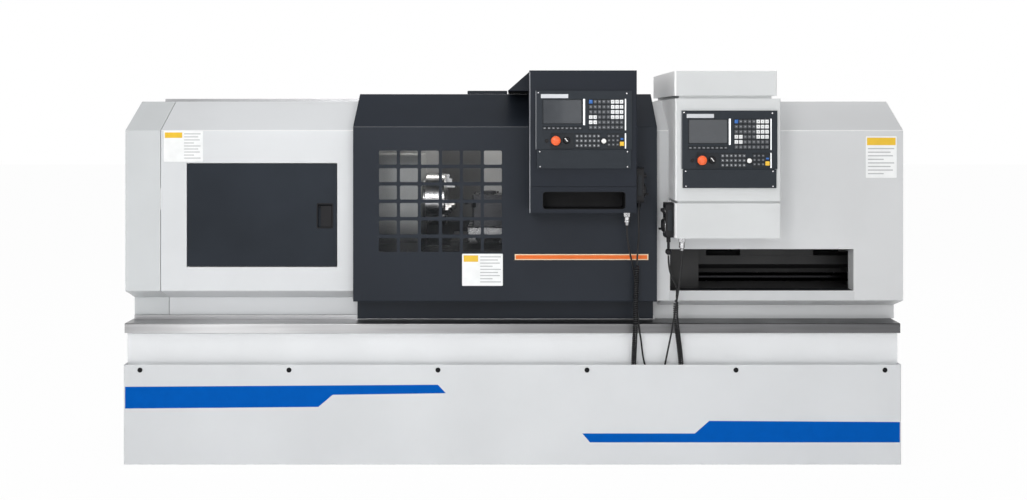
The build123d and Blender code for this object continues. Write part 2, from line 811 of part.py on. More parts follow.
def sliding_hood():
    path = hood_path()
    hood = along_x(folded(path, hood_sheet), hood_left, hood_right)
    rim = [(hood_front, deck + hood_belly_height + 8), *path[3:5], (hood_brow_y + 60, hood_roof)]
    rim_face = band(rim, hood_return, hood_sheet)
    for x in (hood_left, hood_right - hood_sheet):
        hood += along_x(rim_face, x, x + hood_sheet)
    pitch = GridLocations(cell_pitch_x, cell_pitch_z, grid_count, grid_count)
    cells = Sketch() + [place * RectangleRounded(cell_width, cell_height, cell_corner)
                        for place in pitch]
    centre_x = grid_left + ((grid_count - 1) * cell_pitch_x + cell_width) / 2
    centre_z = deck + grid_low + ((grid_count - 1) * cell_pitch_z + cell_height) / 2
    hood -= along_y(Pos(centre_x, centre_z) * cells, hood_front, hood_front + hood_sheet)
    cap = block((cap_left, cap_left + cap_width), (cap_front, cap_front + cap_depth),
                (hood_roof, hood_roof + cap_height))
    hood += fillet(cap.edges().group_by(Axis.Z)[-1], 4)
    under_roof = hood_roof - hood_sheet
    rail_top = roof + rail_height
    shoe_half = rail_width / 2 + 14
    for x in (hood_left + 60, hood_right - 180):
        shoe = block((x, x + 120), (rail_y + rail_width / 2 - shoe_half, hood_back),
                     (roof + 2, under_roof))
        hood += shoe - block((x, x + 120), (rail_y - close_fit, rail_y + rail_width + close_fit),
                             (roof, rail_top + close_fit))
        toe_inner = -hood_toe + hood_sheet
        rail_out = toe_inner + toe_rail_gap
        hood += block((x, x + 120), (toe_inner, rail_out + toe_rail_width / 2),
                      (deck + rail_height + close_fit, deck + rail_height + 14))
    return hood


def window_pane():
    width = (grid_count - 1) * cell_pitch_x + cell_width
    height = (grid_count - 1) * cell_pitch_z + cell_height
    back = hood_front + hood_sheet
    return block((grid_left - pane_margin, grid_left + width + pane_margin),
                 (back, back + pane_thick),
                 (deck + grid_low - pane_margin, deck + grid_low + height + pane_margin))


def hood_rails():
    right = tail_cover_left + 80
    roof_rail = block((end_cover_left + 6, right), (rail_y, rail_y + rail_width),
                      (roof, roof + rail_height))
    rail_out = -hood_toe + hood_sheet + toe_rail_gap
    toe_rail = block((end_cover_left + 6, right), (rail_out, rail_out + toe_rail_width),
                     (deck, deck + rail_height))
    return [roof_rail, toe_rail]


def work_lamp():
    top = roof - cover_sheet
    profile = [(roof_edge + 40, top), (roof_edge + 40, top - 22), (roof_edge + 58, top - 40),
               (roof_edge + 92, top - 40), (roof_edge + 110, top - 22), (roof_edge + 110, top)]
    return along_x(outline(profile), lamp_left, lamp_right)


def carriage(x):
    top, wing = saddle_top, saddle_depth
    points = [(-wing, way_top + close_fit), *vee(close_fit), (wing, way_top + close_fit),
              (wing, top - 25), (wing - 15, top), (-wing, top)]
    saddle = along_x(outline(points), x - saddle_half, x + saddle_half)
    apron_back = -head_out - apron_clear
    apron = outline([(-apron_front, screw_z - 50), (apron_back, screw_z - 50), (apron_back, top - 20),
                     (-wing, top), (-apron_front + 30, top), (-apron_front, top - 30)])
    saddle += along_x(apron, x - saddle_apron, x + saddle_apron)
    guide = outline([(x - guide_half + 15, top), (x - guide_half, top + guide_height),
                     (x + guide_half, top + guide_height), (x + guide_half - 15, top)])
    saddle += along_y(guide, -apron_front + 40, wing)
    saddle += block((x - 55, x + 55), (wing - 15, wing + 140), (top - 70, top + 34))
    return saddle - rod_x(screw_y, screw_z, screw_r + close_fit, x - saddle_apron, x + saddle_apron)


def cross_slide(x):
    low = saddle_top + close_fit
    body = block((x - slide_half, x + slide_half), (slide_front, slide_back), (low, slide_top))
    body = fillet(body.edges().filter_by(Axis.Z), 8)
    gap = 2 * close_fit
    channel = outline([(x - guide_half + 15 - gap, saddle_top),
                       (x - guide_half - gap, guide_top + close_fit),
                       (x + guide_half + gap, guide_top + close_fit),
                       (x + guide_half - 15 + gap, saddle_top)])
    return body - along_y(channel, slide_front, slide_back)


def cross_slide_a():
    slide = cross_slide(carriage_a_x)
    return slide + rod_z(carriage_a_x, turret_y, spigot_r, slide_top, slide_top + 40)


def tool_bar(height):
    """A square turning tool clamped in the turret's +X side, its tip past the corner."""
    out, deep = turret_half, turret_half - tool_size + 4
    end = turret_half + tool_reach
    points = [(deep, -turret_half + 10), (out + 4, -turret_half + 10), (out + 4, end - 10),
              (out - 2, end), (deep, end - 14)]
    return along_z(outline(points), height - tool_size, height)


def turret_a():
    low = slide_top + close_fit
    body = block((-turret_half, turret_half), (-turret_half, turret_half), (low, low + turret_height))
    body = fillet(body.edges().filter_by(Axis.Z), 10)
    slot = block((turret_half - tool_size + 4, turret_half + 1), (-turret_half, turret_half),
                 (axis_z - tool_size, axis_z + 1))
    tool = tool_bar(axis_z)
    for i in range(4):
        body -= slot.rotate(Axis.Z, 90 * i)
    for i in range(4):
        body += tool.rotate(Axis.Z, 90 * i)
        for offset in (-40, -10, 20):
            bolt = rod_z(turret_half - 8, offset, 5, low + turret_height, low + turret_height + 8)
            body += bolt.rotate(Axis.Z, 90 * i)
    body += rod_z(0, 0, 34, low + turret_height, low + turret_height + 14)
    body -= rod_z(0, 0, spigot_r + close_fit, low, slide_top + 40 + close_fit)
    return Pos(carriage_a_x, turret_y, 0) * body


def cross_slide_b():
    slide = cross_slide(carriage_b_x)
    x, y = carriage_b_x, turret_y
    post = block((x - 60, x + 60), (y - 60, y + 60), (slide_top, axis_z + 40))
    post = fillet(post.edges().filter_by(Axis.Z), 8)
    post -= block((x - 60, x + 60), (y + 20, y + 61), (axis_z - tool_size, axis_z))
    tool = block((x - 10, x + 10), (y + 20, y + 60 + tool_reach), (axis_z - tool_size, axis_z))
    return slide + post + tool


def tailstock():
    width = saddle_depth - 10
    half = [(width, way_top + close_fit), (width, way_top + 42), (110, way_top + 80), (80, axis_z)]
    left_side = [(-y, z) for y, z in half]
    points = [left_side[0], *left_side[1:], *half[::-1][:-1], half[0], *vee(close_fit)[::-1]]
    body = along_x(outline(points), tailstock_left, tailstock_right)
    body += rod_x(0, axis_z, 80.0, tailstock_left, tailstock_right)
    body += rod_x(0, axis_z, 58.0, tailstock_right, tailstock_right + 60)
    return body - rod_x(0, axis_z, quill_r + close_fit, tailstock_left, quill_back + 10)


def quill():
    length = quill_back - quill_tip
    profile = [(0, 0), (4, 3), (cone_length - 30, 30), (cone_length - 20, 30),
               (cone_length - 20, quill_r - 3), (cone_length - 17, quill_r), (length, quill_r),
               (length, 0)]
    return turned(profile, (quill_tip, 0, axis_z), (1, 0, 0))


def electrical_cabinet():
    right, low = cabinet_left + cabinet_width, deck + cabinet_low
    back = cabinet_front
    box = block((cabinet_left, right), (back_y, back), (low, low + cabinet_height))
    rim = cabinet_sheet + 16
    box -= block((cabinet_left + cabinet_sheet, right - cabinet_sheet),
                 (back_y + cabinet_sheet, back - cabinet_sheet),
                 (low + cabinet_sheet, low + cabinet_height - cabinet_sheet))
    box -= block((cabinet_left + rim, right - rim), (back - cabinet_sheet, back),
                 (low + rim, low + cabinet_height - rim))
    rows = int((cabinet_height - panel_low - panel_high - panel_top_gap) // panel_pitch) + 1
    for i in range(rows):
        z = low + panel_low + panel_pitch * i
        box += block((cabinet_left + 120, right - 120), (back_y + cabinet_sheet, back_y + 60),
                     (z, z + panel_high))
    for z in barrel_feet():
        top = z + barrel_length
        leaf = cabinet_left - leaf_thick
        box += rod_z(barrel_x, barrel_y, barrel_r, z, top)
        box += rod_z(barrel_x, barrel_y, barrel_pin_r, z, top + barrel_pin_length)
        box += block((leaf, cabinet_left), (back - leaf_reach, back), (z, top))
        box += block((leaf, cabinet_left - 2 * close_fit), (back, barrel_y - barrel_r / 2), (z, top))
    return box


def barrel_feet():
    """The lowest point of each lift-off hinge of the electrical cabinet."""
    low = deck + cabinet_low
    return [low + barrel_margin, low + cabinet_height - barrel_margin - 2 * barrel_length]


def cabinet_door():
    right, low = cabinet_left + cabinet_width, deck + cabinet_low
    front = cabinet_front + close_fit
    back = front + cabinet_door_depth
    door = block((cabinet_left, right), (front, back), (low, low + cabinet_height))
    door = fillet(door.edges().group_by(Axis.Y)[-1], 4)
    door -= block((cabinet_left + 2, right - 2), (front, back - 2), (low + 2, low + cabinet_height - 2))
    for i in range(6):
        z = low + 90 + 26 * i
        door -= block((right - 320, right - 120), (back - 3, back), (z, z + 8))
    door += block((right - 60, right - 40), (back, back + 5), (low + 400, low + 480))
    for z in barrel_feet():
        foot, top = z + barrel_length + close_fit, z + 2 * barrel_length
        door += rod_z(barrel_x, barrel_y, barrel_r, foot, top)
        door += block((barrel_x, cabinet_left + 1), (barrel_y - leaf_thick / 2, barrel_y + leaf_thick / 2),
                      (foot, top))
        door -= rod_z(barrel_x, barrel_y, barrel_pin_r + close_fit, foot,
                      z + barrel_length + barrel_pin_length + 1)
    return door


def coolant_tank():
    left, right = chute_left, chute_right
    low = floor_gap + 6
    top = floor_gap + tank_height
    tank = block((left, right), (tank_front, tank_back), (low, top))
    tank -= block((left + tank_sheet, right - tank_sheet),
                  (tank_front + tank_sheet, tank_back - tank_sheet), (low + tank_sheet, top))
    for x in (left + 80, right - 80):
        for y in (tank_front + 80, tank_back - 80):
            tank += rod_z(x, y, 25, 0, low)
    lid_front = base_depth / 2 + tray_back_overhang + 12
    tank += block((left, right), (lid_front, tank_back), (top - tank_sheet, top))
    pump_x, pump_y = left + 220, (lid_front + tank_back) / 2
    tank += rod_z(pump_x, pump_y, 60, top, top + 12)
    return tank + rod_z(pump_x, pump_y, 48, top + 12, top + 150)


def fascia_point(corner, place):
    """The x and z of a place on the fascia, measured from its upper left corner."""
    return corner[0] + place[0], corner[2] - place[1]


def fascia_block(corner, area, y_low, y_high, margin=0.0):
    x, z = fascia_point(corner, area[:2])
    return block((x - margin, x + area[2] + margin), (y_low, y_high),
                 (z - area[3] - margin, z + margin))


def control_bores(corner, y_low, y_high):
    bores = []
    for place, radius in ((e_stop_at, e_stop_shaft_r), (knob_at, knob_shaft_r), (cycle_at, cycle_r)):
        x, z = fascia_point(corner, place)
        bores.append(rod_y(x, z, radius + close_fit, y_low, y_high))
    return bores


def fascia_cutout(corner, depth):
    """The opening behind a fascia, which bears on a rim all round it."""
    area = (0, 0, fascia_width, fascia_height)
    return fascia_block(corner, area, corner[1], corner[1] + depth, margin=-fascia_seat)


def console_a():
    under = hood_roof + arm_clear
    crook = [(arm_rear, roof), (arm_heel, roof), (arm_heel, under), (hood_brow_y, under),
             (console_a_back, hood_brow + arm_clear * 0.6), (console_a_back, console_a_bottom)]
    side = outline([(console_a_front, console_a_bottom), (console_a_front, console_a_top),
                    (arm_shoulder, console_a_top), (arm_rear, roof + arm_rear_height), *crook])
    body = along_x(side, console_a_left, console_a_right)
    body = fillet(body.edges().filter_by(Axis.Z).group_by(Axis.Y)[0], console_edge)
    cheek = outline([(console_a_left + 1, console_a_top), (console_a_left - cheek_reach, under),
                     (console_a_left + 1, under)])
    body += along_y(cheek, console_a_back, arm_shoulder)
    seam = console_a_bottom + console_a_seam
    body -= block((console_a_left, console_a_right), (console_a_front, console_a_front + 4),
                  (seam - 1.5, seam + 1.5))
    left, low = console_a_left + pocket_margin, console_a_bottom + pocket_low
    pocket = block((left, left + pocket_width), (console_a_front, console_a_front + pocket_depth),
                   (low, low + pocket_height))
    body -= fillet(pocket.edges().filter_by(Axis.Y), 13)
    wall = console_wall
    inside_x = (console_a_left + wall, console_a_right - wall)
    body -= block(inside_x, (console_a_front + wall, console_a_back - wall),
                  (seam + 2 * wall, console_a_top - wall))
    body -= block(inside_x, (console_a_back - 2 * wall, arm_shoulder),
                  (under + wall, console_a_top - wall))
    return body - fascia_cutout(fascia_a, 2 * wall)


def console_b():
    seat = [(-cover_front, brow), (brow_y, roof), (0, roof), (0, console_b_top)]
    side = outline([(console_b_front, console_b_bottom), (console_b_front, console_b_top),
                    *seat[::-1], (-cover_front, console_b_bottom)])
    body = along_x(side, console_b_left, console_b_right)
    body = fillet(body.edges().filter_by(Axis.Z).group_by(Axis.Y)[0], console_edge)
    lower = block((console_b_left, console_b_right), (console_b_front, -cover_front),
                  (box_b_bottom, box_b_top))
    body += fillet(lower.edges().filter_by(Axis.Z).group_by(Axis.Y)[0], console_edge)
    inset = 12
    body += block((console_b_left + inset, console_b_right - inset),
                  (console_b_front + inset, -cover_front), (box_b_top, console_b_bottom))
    foot = console_b_top + brow_box_gap
    body += block((brow_box_left + 20, brow_box_right - 20), (console_b_front + inset, -inset),
                  (console_b_top, foot))
    brow_box = block((brow_box_left, brow_box_right), (console_b_front, 0),
                     (foot, foot + brow_box_height))
    body += fillet(brow_box.edges().filter_by(Axis.Z).group_by(Axis.Y)[0], console_edge)
    wall = console_wall
    inside_y = (console_b_front + inset + wall, console_b_back - wall)
    narrow_x = (console_b_left + inset + wall, console_b_right - inset - wall)
    body -= block((console_b_left + wall, console_b_right - wall),
                  (console_b_front + wall, console_b_back - wall),
                  (console_b_bottom + wall, console_b_top - wall))
    body -= block((console_b_left + wall, console_b_right - wall),
                  (console_b_front + wall, console_b_back - wall),
                  (box_b_bottom + wall, box_b_top - wall))
    body -= block(narrow_x, inside_y, (box_b_top - 2 * wall, console_b_bottom + 2 * wall))
    body -= block((brow_box_left + wall, brow_box_right - wall), (console_b_front + wall, -wall),
                  (foot + wall, foot + brow_box_height - wall))
    body -= block((brow_box_left + 20 + wall, brow_box_right - 20 - wall), inside_y,
                  (console_b_top - 2 * wall, foot + 2 * wall))
    return body - fascia_cutout(fascia_b, 2 * wall)


def fascia(corner):
    back = corner[1]
    front = back - fascia_thick
    low = corner[2] - fascia_height
    split = corner[2] - fascia_split
    upper = block((corner[0], corner[0] + fascia_width), (front, back), (split, corner[2]))
    lower = block((corner[0] + 6, corner[0] + fascia_width - 4), (front, back), (low, split - 2))
    joint = block((corner[0] + 10, corner[0] + fascia_width - 10), (back - 3, back),
                  (split - 3, split + 1))
    plate = upper + lower + joint
    for area in (screen_area, keypad_area, panel_area, soft_key_area):
        plate -= fascia_block(corner, area, front, front + 3)
    x, z = fascia_point(corner, e_stop_at)
    plate += rod_y(x, z, e_stop_r + 3, front, front + 4)
    for bore in control_bores(corner, front, back):
        plate -= bore
    return plate


def key_block(corner, centre, width, height, stand):
    front = corner[1] - fascia_thick
    area = (centre[0] - width / 2, centre[1] - height / 2, width, height)
    return fascia_block(corner, area, front - stand, front + 3 - mat_thick)


def key_places(first, pitch_x, pitch_z, columns, rows):
    return [(first[0] + pitch_x * i, first[1] + pitch_z * j)
            for j in range(rows) for i in range(columns)]


def keypad_mats(corner):
    """The three moulded key mats of one fascia, each with its keys standing on it."""
    front = corner[1] - fascia_thick
    floor = (front + 3 - mat_thick, front + 3)
    alpha = fascia_block(corner, keypad_area, *floor, margin=-1.0)
    for place in key_places((231.5, 46), 20, 21.5, 8, 6):
        alpha += key_block(corner, place, 15, 15, key_stand)
    panel = fascia_block(corner, (166, 178, 106, 64), *floor)
    for place in key_places((174, 190), 19, 20, 6, 3):
        panel += key_block(corner, place, 12, 11, 1.0)
    right_panel = fascia_block(corner, (300, 178, 78, 64), *floor)
    for place in key_places((308, 190), 18, 18, 4, 3):
        right_panel += key_block(corner, place, 10, 9, 1.0)
    soft = fascia_block(corner, soft_key_area, *floor, margin=-1.0)
    for place in key_places((38, 157), 18.6, 1, 9, 1):
        soft += key_block(corner, place, 11, 8, 0.5)
    return [alpha, panel, right_panel, soft]


def e_stop(corner):
    x, z = fascia_point(corner, e_stop_at)
    front = corner[1] - fascia_thick
    profile = [(0, 0), (0, 12), (1.5, 17), (5, e_stop_r), (12, e_stop_r), (16, e_stop_shaft_r),
               (e_stop_stand + 22, e_stop_shaft_r), (e_stop_stand + 22, 0)]
    return turned(profile, (x, front - e_stop_stand, z), (0, 1, 0))


def override_knob(corner):
    x, z = fascia_point(corner, knob_at)
    face = corner[1] - fascia_thick + 3 - close_fit
    base = turned([(0, 0), (0, knob_r - 4), (2, knob_r - 3), (knob_height - 4, knob_r - 1),
                   (knob_height, knob_r), (knob_height, knob_shaft_r), (knob_height + 18, knob_shaft_r),
                   (knob_height + 18, 0)], (x, face - knob_height, z), (0, 1, 0))
    pointer = block((x - 2.5, x + 2.5), (face - knob_height - 2, face - knob_height + 1),
                    (z - 3, z + knob_r - 3))
    return base + pointer.rotate(Axis((x, 0, z), (0, 1, 0)), -40)


def cycle_button(corner):
    x, z = fascia_point(corner, cycle_at)
    face = corner[1] - fascia_thick
    profile = [(0, 0), (0, cycle_r - 1.5), (1.5, cycle_r), (cycle_stand + 22, cycle_r),
               (cycle_stand + 22, 0)]
    return turned(profile, (x, face - cycle_stand, z), (0, 1, 0))


def connector(x, top):
    profile = [(0, 0), (0, connector_r + 3), (4, connector_r + 3), (4, connector_r),
               (26, connector_r), (28, connector_r - 2), (44, connector_r - 2),
               (46, connector_r - 4), (connector_length, 8), (connector_length, 0)]
    return turned([(-d, r) for d, r in profile], (x, connector_y, top), (0, 0, 1))


def connectors():
    return [connector(connector_a_x, console_a_bottom), connector(connector_b_x, box_b_bottom)]


def pendant(face_x, side, top):
    """A hand pendant on a console's side wall; side is +1 when it faces right."""
    reach = sorted((face_x, face_x + side * pendant_thick))
    y = (pendant_y - pendant_depth / 2, pendant_y + pendant_depth / 2)
    body = block(reach, y, (top - pendant_height, top))
    body = fillet(body.edges().filter_by(Axis.X), 14)
    middle = face_x + side * pendant_thick / 2
    neck = rod_z(middle, pendant_y, 9, top - pendant_height - strain_length,
                 top - pendant_height + 4)
    body += neck
    for drop, y_place in pendant_controls():
        bore = sorted((face_x + side * (pendant_thick - 12), face_x + side * pendant_thick))
        body -= rod_x(y_place, top - drop, 3.0 + close_fit, *bore)
    return body


def pendant_controls():
    """Drop from the pendant's top and y of the wheel, the axis knob and the step knob."""
    return [(98, pendant_y), (34, pendant_y - 18), (34, pendant_y + 18)]


def pendant_knob(face_x, side, top, index, profile):
    drop, y = pendant_controls()[index]
    start = face_x + side * (pendant_thick - 10)
    shaft = [(0, 0), (0, 3), (10 + close_fit, 3)]
    head = [(d + 10 + close_fit, r) for d, r in profile]
    return turned(shaft + head, (start, y, top - drop), (side, 0, 0))


def pendant_wheel(face_x, side, top):
    profile = [(0, wheel_r - 2), (2, wheel_r), (wheel_thick - 3, wheel_r), (wheel_thick, wheel_r - 4),
               (wheel_thick, 0)]
    wheel = pendant_knob(face_x, side, top, 0, profile)
    drop, y = pendant_controls()[0]
    outer = face_x + side * (pendant_thick + close_fit + wheel_thick)
    crank = sorted((outer - side, outer + side * 12))
    return wheel + rod_x(y, top - drop - wheel_r + 12, 5, *crank)


def pendant_selector(face_x, side, top, index):
    profile = [(0, small_knob_r), (small_knob_height - 2, small_knob_r - 1),
               (small_knob_height, small_knob_r - 3), (small_knob_height, 0)]
    return pendant_knob(face_x, side, top, index, profile)


def pendant_b():
    """The second pendant also has a sleeve with a round clip below its strain relief."""
    sleeve = rod_z(pendant_b_x, pendant_y, 6, clip_ball_z, clip_ball_z + clip_sleeve + 1)
    ball = Pos(pendant_b_x, pendant_y, clip_ball_z) * Sphere(clip_ball_r)
    flat = rod_z(pendant_b_x, pendant_y, lead_r + 1, clip_ball_z - clip_ball_r, clip_ball_z)
    return pendant(console_b_left, -1, pendant_b_top) + sleeve + ball + flat


def tube(points, radius, name):
    """A round cord of straight runs joined by arcs as large as the runs allow."""
    runs = [math.dist(a, b) for a, b in zip(points, points[1:])]
    radii = []
    for i in range(1, len(points) - 1):
        before = Vector(*points[i]) - Vector(*points[i - 1])
        after = Vector(*points[i + 1]) - Vector(*points[i])
        turn = math.radians(before.get_angle(after))
        radii.append(0.45 * min(runs[i - 1], runs[i]) / math.tan(turn / 2))
    path = FilletPolyline(*points, radius=radii)
    start = Plane(origin=path @ 0, z_dir=path % 0)
    solid = sweep(start * Circle(radius), path=path)
    section = math.pi * radius ** 2 * path.length
    print(f"{name}: length {path.length:.0f}, tightest radius {min(radii):.0f},",
          f"longest run {max(runs):.0f}, volume ratio {solid.volume / section:.4f}")
    return solid


# The cords hang in front of the machine and drop behind the apron's upper edge.
coil_a_route = [(538, -580, 905), (533, -574, 776), (534, -556, 650), (532, -532, 539),
                (532, -501, 452), (532, -494, 392), (532, -494, 330)]
tail_a_route = [(541, -610, pendant_a_top - pendant_height - strain_length), (541, -610, 1085),
                (543, -605, 1030), (543, -595, 994), (540, -582.3, 950), (538, -580, 905)]
lead_a_route = [(connector_a_x, connector_y, console_a_bottom - connector_length),
                (connector_a_x, connector_y, 1020), (500, -595, 968), (512, -578, 915),
                (526, -556, 858), (535, -543, 790), (540, -537, 715), (547, -534, 650),
                (553, -530, 600), (562, -517, 551), (569, -502, 500), (576, -495, 455),
                (591, -494, 410), (611, -494, 367), (624, -494, 328), (624, -494, 292),
                (597, -494, 265), (559, -494, 265), (532, -494, 292), (532, -494, 330)]
coil_b_route = [(710, -566, 748), (706, -558, 680), (712, -553, 622), (722, -535, 562),
                (733, -512, 496), (740, -498, 441), (741, -494, 386), (741, -494, 330)]
tail_b_route = [(pendant_b_x, -610, clip_ball_z - clip_ball_r), (pendant_b_x, -610, 895),
                (678, -605, 852), (696, -590, 818), (712, -571.5, 786), (710, -566, 748)]
lead_b_route = [(connector_b_x, connector_y, box_b_bottom - connector_length),
                (connector_b_x, connector_y, 912), (724, -600, 865), (718, -598, 815),
                (712, -594, 765), (703, -587, 705), (695, -578, 640), (687, -560, 580),
                (678, -528, 508), (670, -502, 444), (663, -494, 400), (655, -494, 360),
                (649, -494, 325), (649, -494, 292), (676, -494, 265), (714, -494, 265),
                (741, -494, 292), (741, -494, 330)]


def save(name, shape):
    """Write one node; several solids are given as a list."""
    if isinstance(shape, list):
        shape = Compound(children=[Part(solid.wrapped) for solid in shape])
    export_step(shape, f"parts/{name}.step")


def main():
    os.makedirs("parts", exist_ok=True)
    save("base_frame", base_frame())
    save("levelling_feet", levelling_feet())
    save("front_apron", front_apron())
    save("apron_screws", apron_screws())
    save("chip_tray", chip_tray())
    save("bed", bed())
    save("z_screw", z_screw())
    save("headstock", headstock())
    save("headstock_cover", headstock_cover())
    save("end_cover", end_cover())
    save("rear_cover", rear_cover())
    save("tail_cover", tail_cover())
    save("hood_rails", hood_rails())
    save("electrical_cabinet", electrical_cabinet())
    save("coolant_tank", coolant_tank())
    save("spindle_motor", spindle_motor())
    save("drive_belt", drive_belt())
    save("work_lamp", work_lamp())
    save("sliding_hood", sliding_hood())
    save("window_pane", window_pane())
    save("access_door", access_door())
    save("latch_paddle", latch_paddle())
    save("cabinet_door", cabinet_door())
    save("spindle", spindle())
    save("chuck_body", chuck_body())
    for index in range(3):
        save(f"jaw_{index + 1}", chuck_jaw(index))
    save("motor_pulley", motor_pulley())
    save("carriage_a", carriage(carriage_a_x))
    save("cross_slide_a", cross_slide_a())
    save("turret_a", turret_a())
    save("carriage_b", carriage(carriage_b_x))
    save("cross_slide_b", cross_slide_b())
    save("tailstock", tailstock())
    save("quill", quill())
    save("console_a", console_a())
    save("console_b", console_b())
    save("keypads", keypad_mats(fascia_a) + keypad_mats(fascia_b))
    save("connectors", connectors())
    save("pendant_a", pendant(console_a_right, 1, pendant_a_top))
    save("pendant_b", pendant_b())
    sides = {"a": (fascia_a, console_a_right, 1, pendant_a_top),
             "b": (fascia_b, console_b_left, -1, pendant_b_top)}
    for letter, (corner, face_x, side, top) in sides.items():
        save(f"fascia_{letter}", fascia(corner))
        save(f"e_stop_{letter}", e_stop(corner))
        save(f"knob_{letter}", override_knob(corner))
        save(f"cycle_button_{letter}", cycle_button(corner))
        save(f"wheel_{letter}", pendant_wheel(face_x, side, top))
        save(f"axis_knob_{letter}", pendant_selector(face_x, side, top, 1))
        save(f"step_knob_{letter}", pendant_selector(face_x, side, top, 2))
    save("cord_a_leads", [tube(tail_a_route, lead_r, "tail a"), tube(lead_a_route, lead_r, "lead a")])
    save("cord_a_coil", tube(coil_a_route, coil_r, "coil a"))
    save("cord_b_leads", [tube(tail_b_route, lead_r, "tail b"), tube(lead_b_route, lead_r, "lead b")])
    save("cord_b_coil", tube(coil_b_route, coil_r, "coil b"))


main()
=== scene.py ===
import math

import bmesh
import bpy
from mathutils import Matrix, Vector


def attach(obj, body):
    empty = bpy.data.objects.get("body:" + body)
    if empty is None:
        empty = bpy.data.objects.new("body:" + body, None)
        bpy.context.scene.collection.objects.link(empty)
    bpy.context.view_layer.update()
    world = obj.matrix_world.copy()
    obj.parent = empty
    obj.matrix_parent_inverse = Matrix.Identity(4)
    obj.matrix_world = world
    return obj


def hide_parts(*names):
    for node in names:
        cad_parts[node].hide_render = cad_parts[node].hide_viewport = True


MM = 0.001

# The photograph's eye point: level, in front of the middle of the machine.
EYE_HEIGHT = 1.525
EYE_DISTANCE = 5.32
LENS = 38.5
SENSOR_WIDTH = 36.0
SHIFT_X = 0.001
SHIFT_Y = -0.1295

# Places that the machine's drawing gives, in millimetres.
FASCIA_THICK = 8.0
FASCIAS = {"a": (97.0, -705.0, 1635.0), "b": (711.0, -690.0, 1552.0)}
FASCIA_GLINT = (-1.0, 3.0)
CORD_R = 4.0
COIL_R = 12.0
COIL_PITCH = 9.5
COIL_WIRE_R = 3.2
COIL_STEPS = 14
COIL_END = 40.0
COIL_SMOOTHING = 0.98
COVER_FACE = -480.0
APRON_FACE = -520.0
HOOD_FACE = -525.0
REAR_FACE = 480.0
CHUCK_FACE = -318.0
AXIS_Z = 1130.0
LATCH_BEZEL = ((-863, -790), (1034, 1145))
SLOT_SILL = ((690, 1507), (717, 757))
NECK_INFILL = ((606, 656), (716.6, 764))
ARM_SEAL = ((-19, 522), (1629.9, 1639.4), (-303, -295))
POCKET = ((127.6, 474.4), (1137.6, 1210.4), (-704.4, -585.6))
E_STOP_AT = (84, 209)
KNOB_AT = (130, 207.6)
CYCLE_AT = (286, 211)
LOCK_AT = (46, 210)
PENDANTS = {"a": (559.0, 1, 1308.0), "b": (651.0, -1, 1159.0)}
PENDANT_Y = -610.0
DIAL_DROP = 98.0
TICKS = 40
TICK_RADIUS = 30.8
SELECTOR_DROP = 34.0
SELECTOR_SPREAD = 18.0
CONNECTORS = [(492.0, -600.0, 1122.0), (728.0, -600.0, 1013.0)]

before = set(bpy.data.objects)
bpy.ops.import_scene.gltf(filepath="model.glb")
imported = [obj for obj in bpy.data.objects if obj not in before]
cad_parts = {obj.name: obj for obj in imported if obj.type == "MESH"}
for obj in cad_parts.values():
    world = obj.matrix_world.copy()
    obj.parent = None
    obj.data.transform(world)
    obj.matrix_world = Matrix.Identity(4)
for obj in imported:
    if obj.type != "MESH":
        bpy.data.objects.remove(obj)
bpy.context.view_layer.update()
scene = bpy.context.scene
scene.view_settings.view_transform = "Standard"


# Camera

def place_camera():
    lens = bpy.data.cameras.new("camera")
    lens.lens = LENS
    lens.sensor_width = SENSOR_WIDTH
    lens.shift_x = SHIFT_X
    lens.shift_y = SHIFT_Y
    lens.clip_end = 100.0
    camera = bpy.data.objects.new("camera", lens)
    camera.location = (0.0, -EYE_DISTANCE, EYE_HEIGHT)
    camera.rotation_euler = (math.pi / 2, 0.0, 0.0)
    scene.collection.objects.link(camera)
    scene.camera = camera


# Materials, with the places of painted highlights along bends, an edge and a side, and of the rear sheet's
# face, in metres.

COVER_BEND_HIGHLIGHT = (1.464, 1.4668)
HOOD_BEND_HIGHLIGHT = (1.4808, 1.4834)
CONSOLE_A_EDGE_HIGHLIGHT = (0.0708, 0.0748)
CONSOLE_B_SIDE_HIGHLIGHT = (0.680, 0.6905)
INSIDE_FACE = 0.4789


class Signal:
    """A shader socket that takes part in Python arithmetic."""

    def __init__(self, finish, socket):
        self.finish, self.socket = finish, socket

    def math(self, operation, *others):
        return self.finish.node("ShaderNodeMath", {"operation": operation}, [self, *others])

    def __add__(self, other):
        return self.math("ADD", other)

    def __sub__(self, other):
        return self.math("SUBTRACT", other)

    def __mul__(self, other):
        return self.math("MULTIPLY", other)

    def __rsub__(self, other):
        return self.finish.node("ShaderNodeMath", {"operation": "SUBTRACT"}, [other, self])

    def __lt__(self, other):
        return self.math("LESS_THAN", other)

    def __gt__(self, other):
        return self.math("GREATER_THAN", other)

    __radd__ = __add__
    __rmul__ = __mul__

    def between(self, low, high):
        return (self > low) * (self < high)


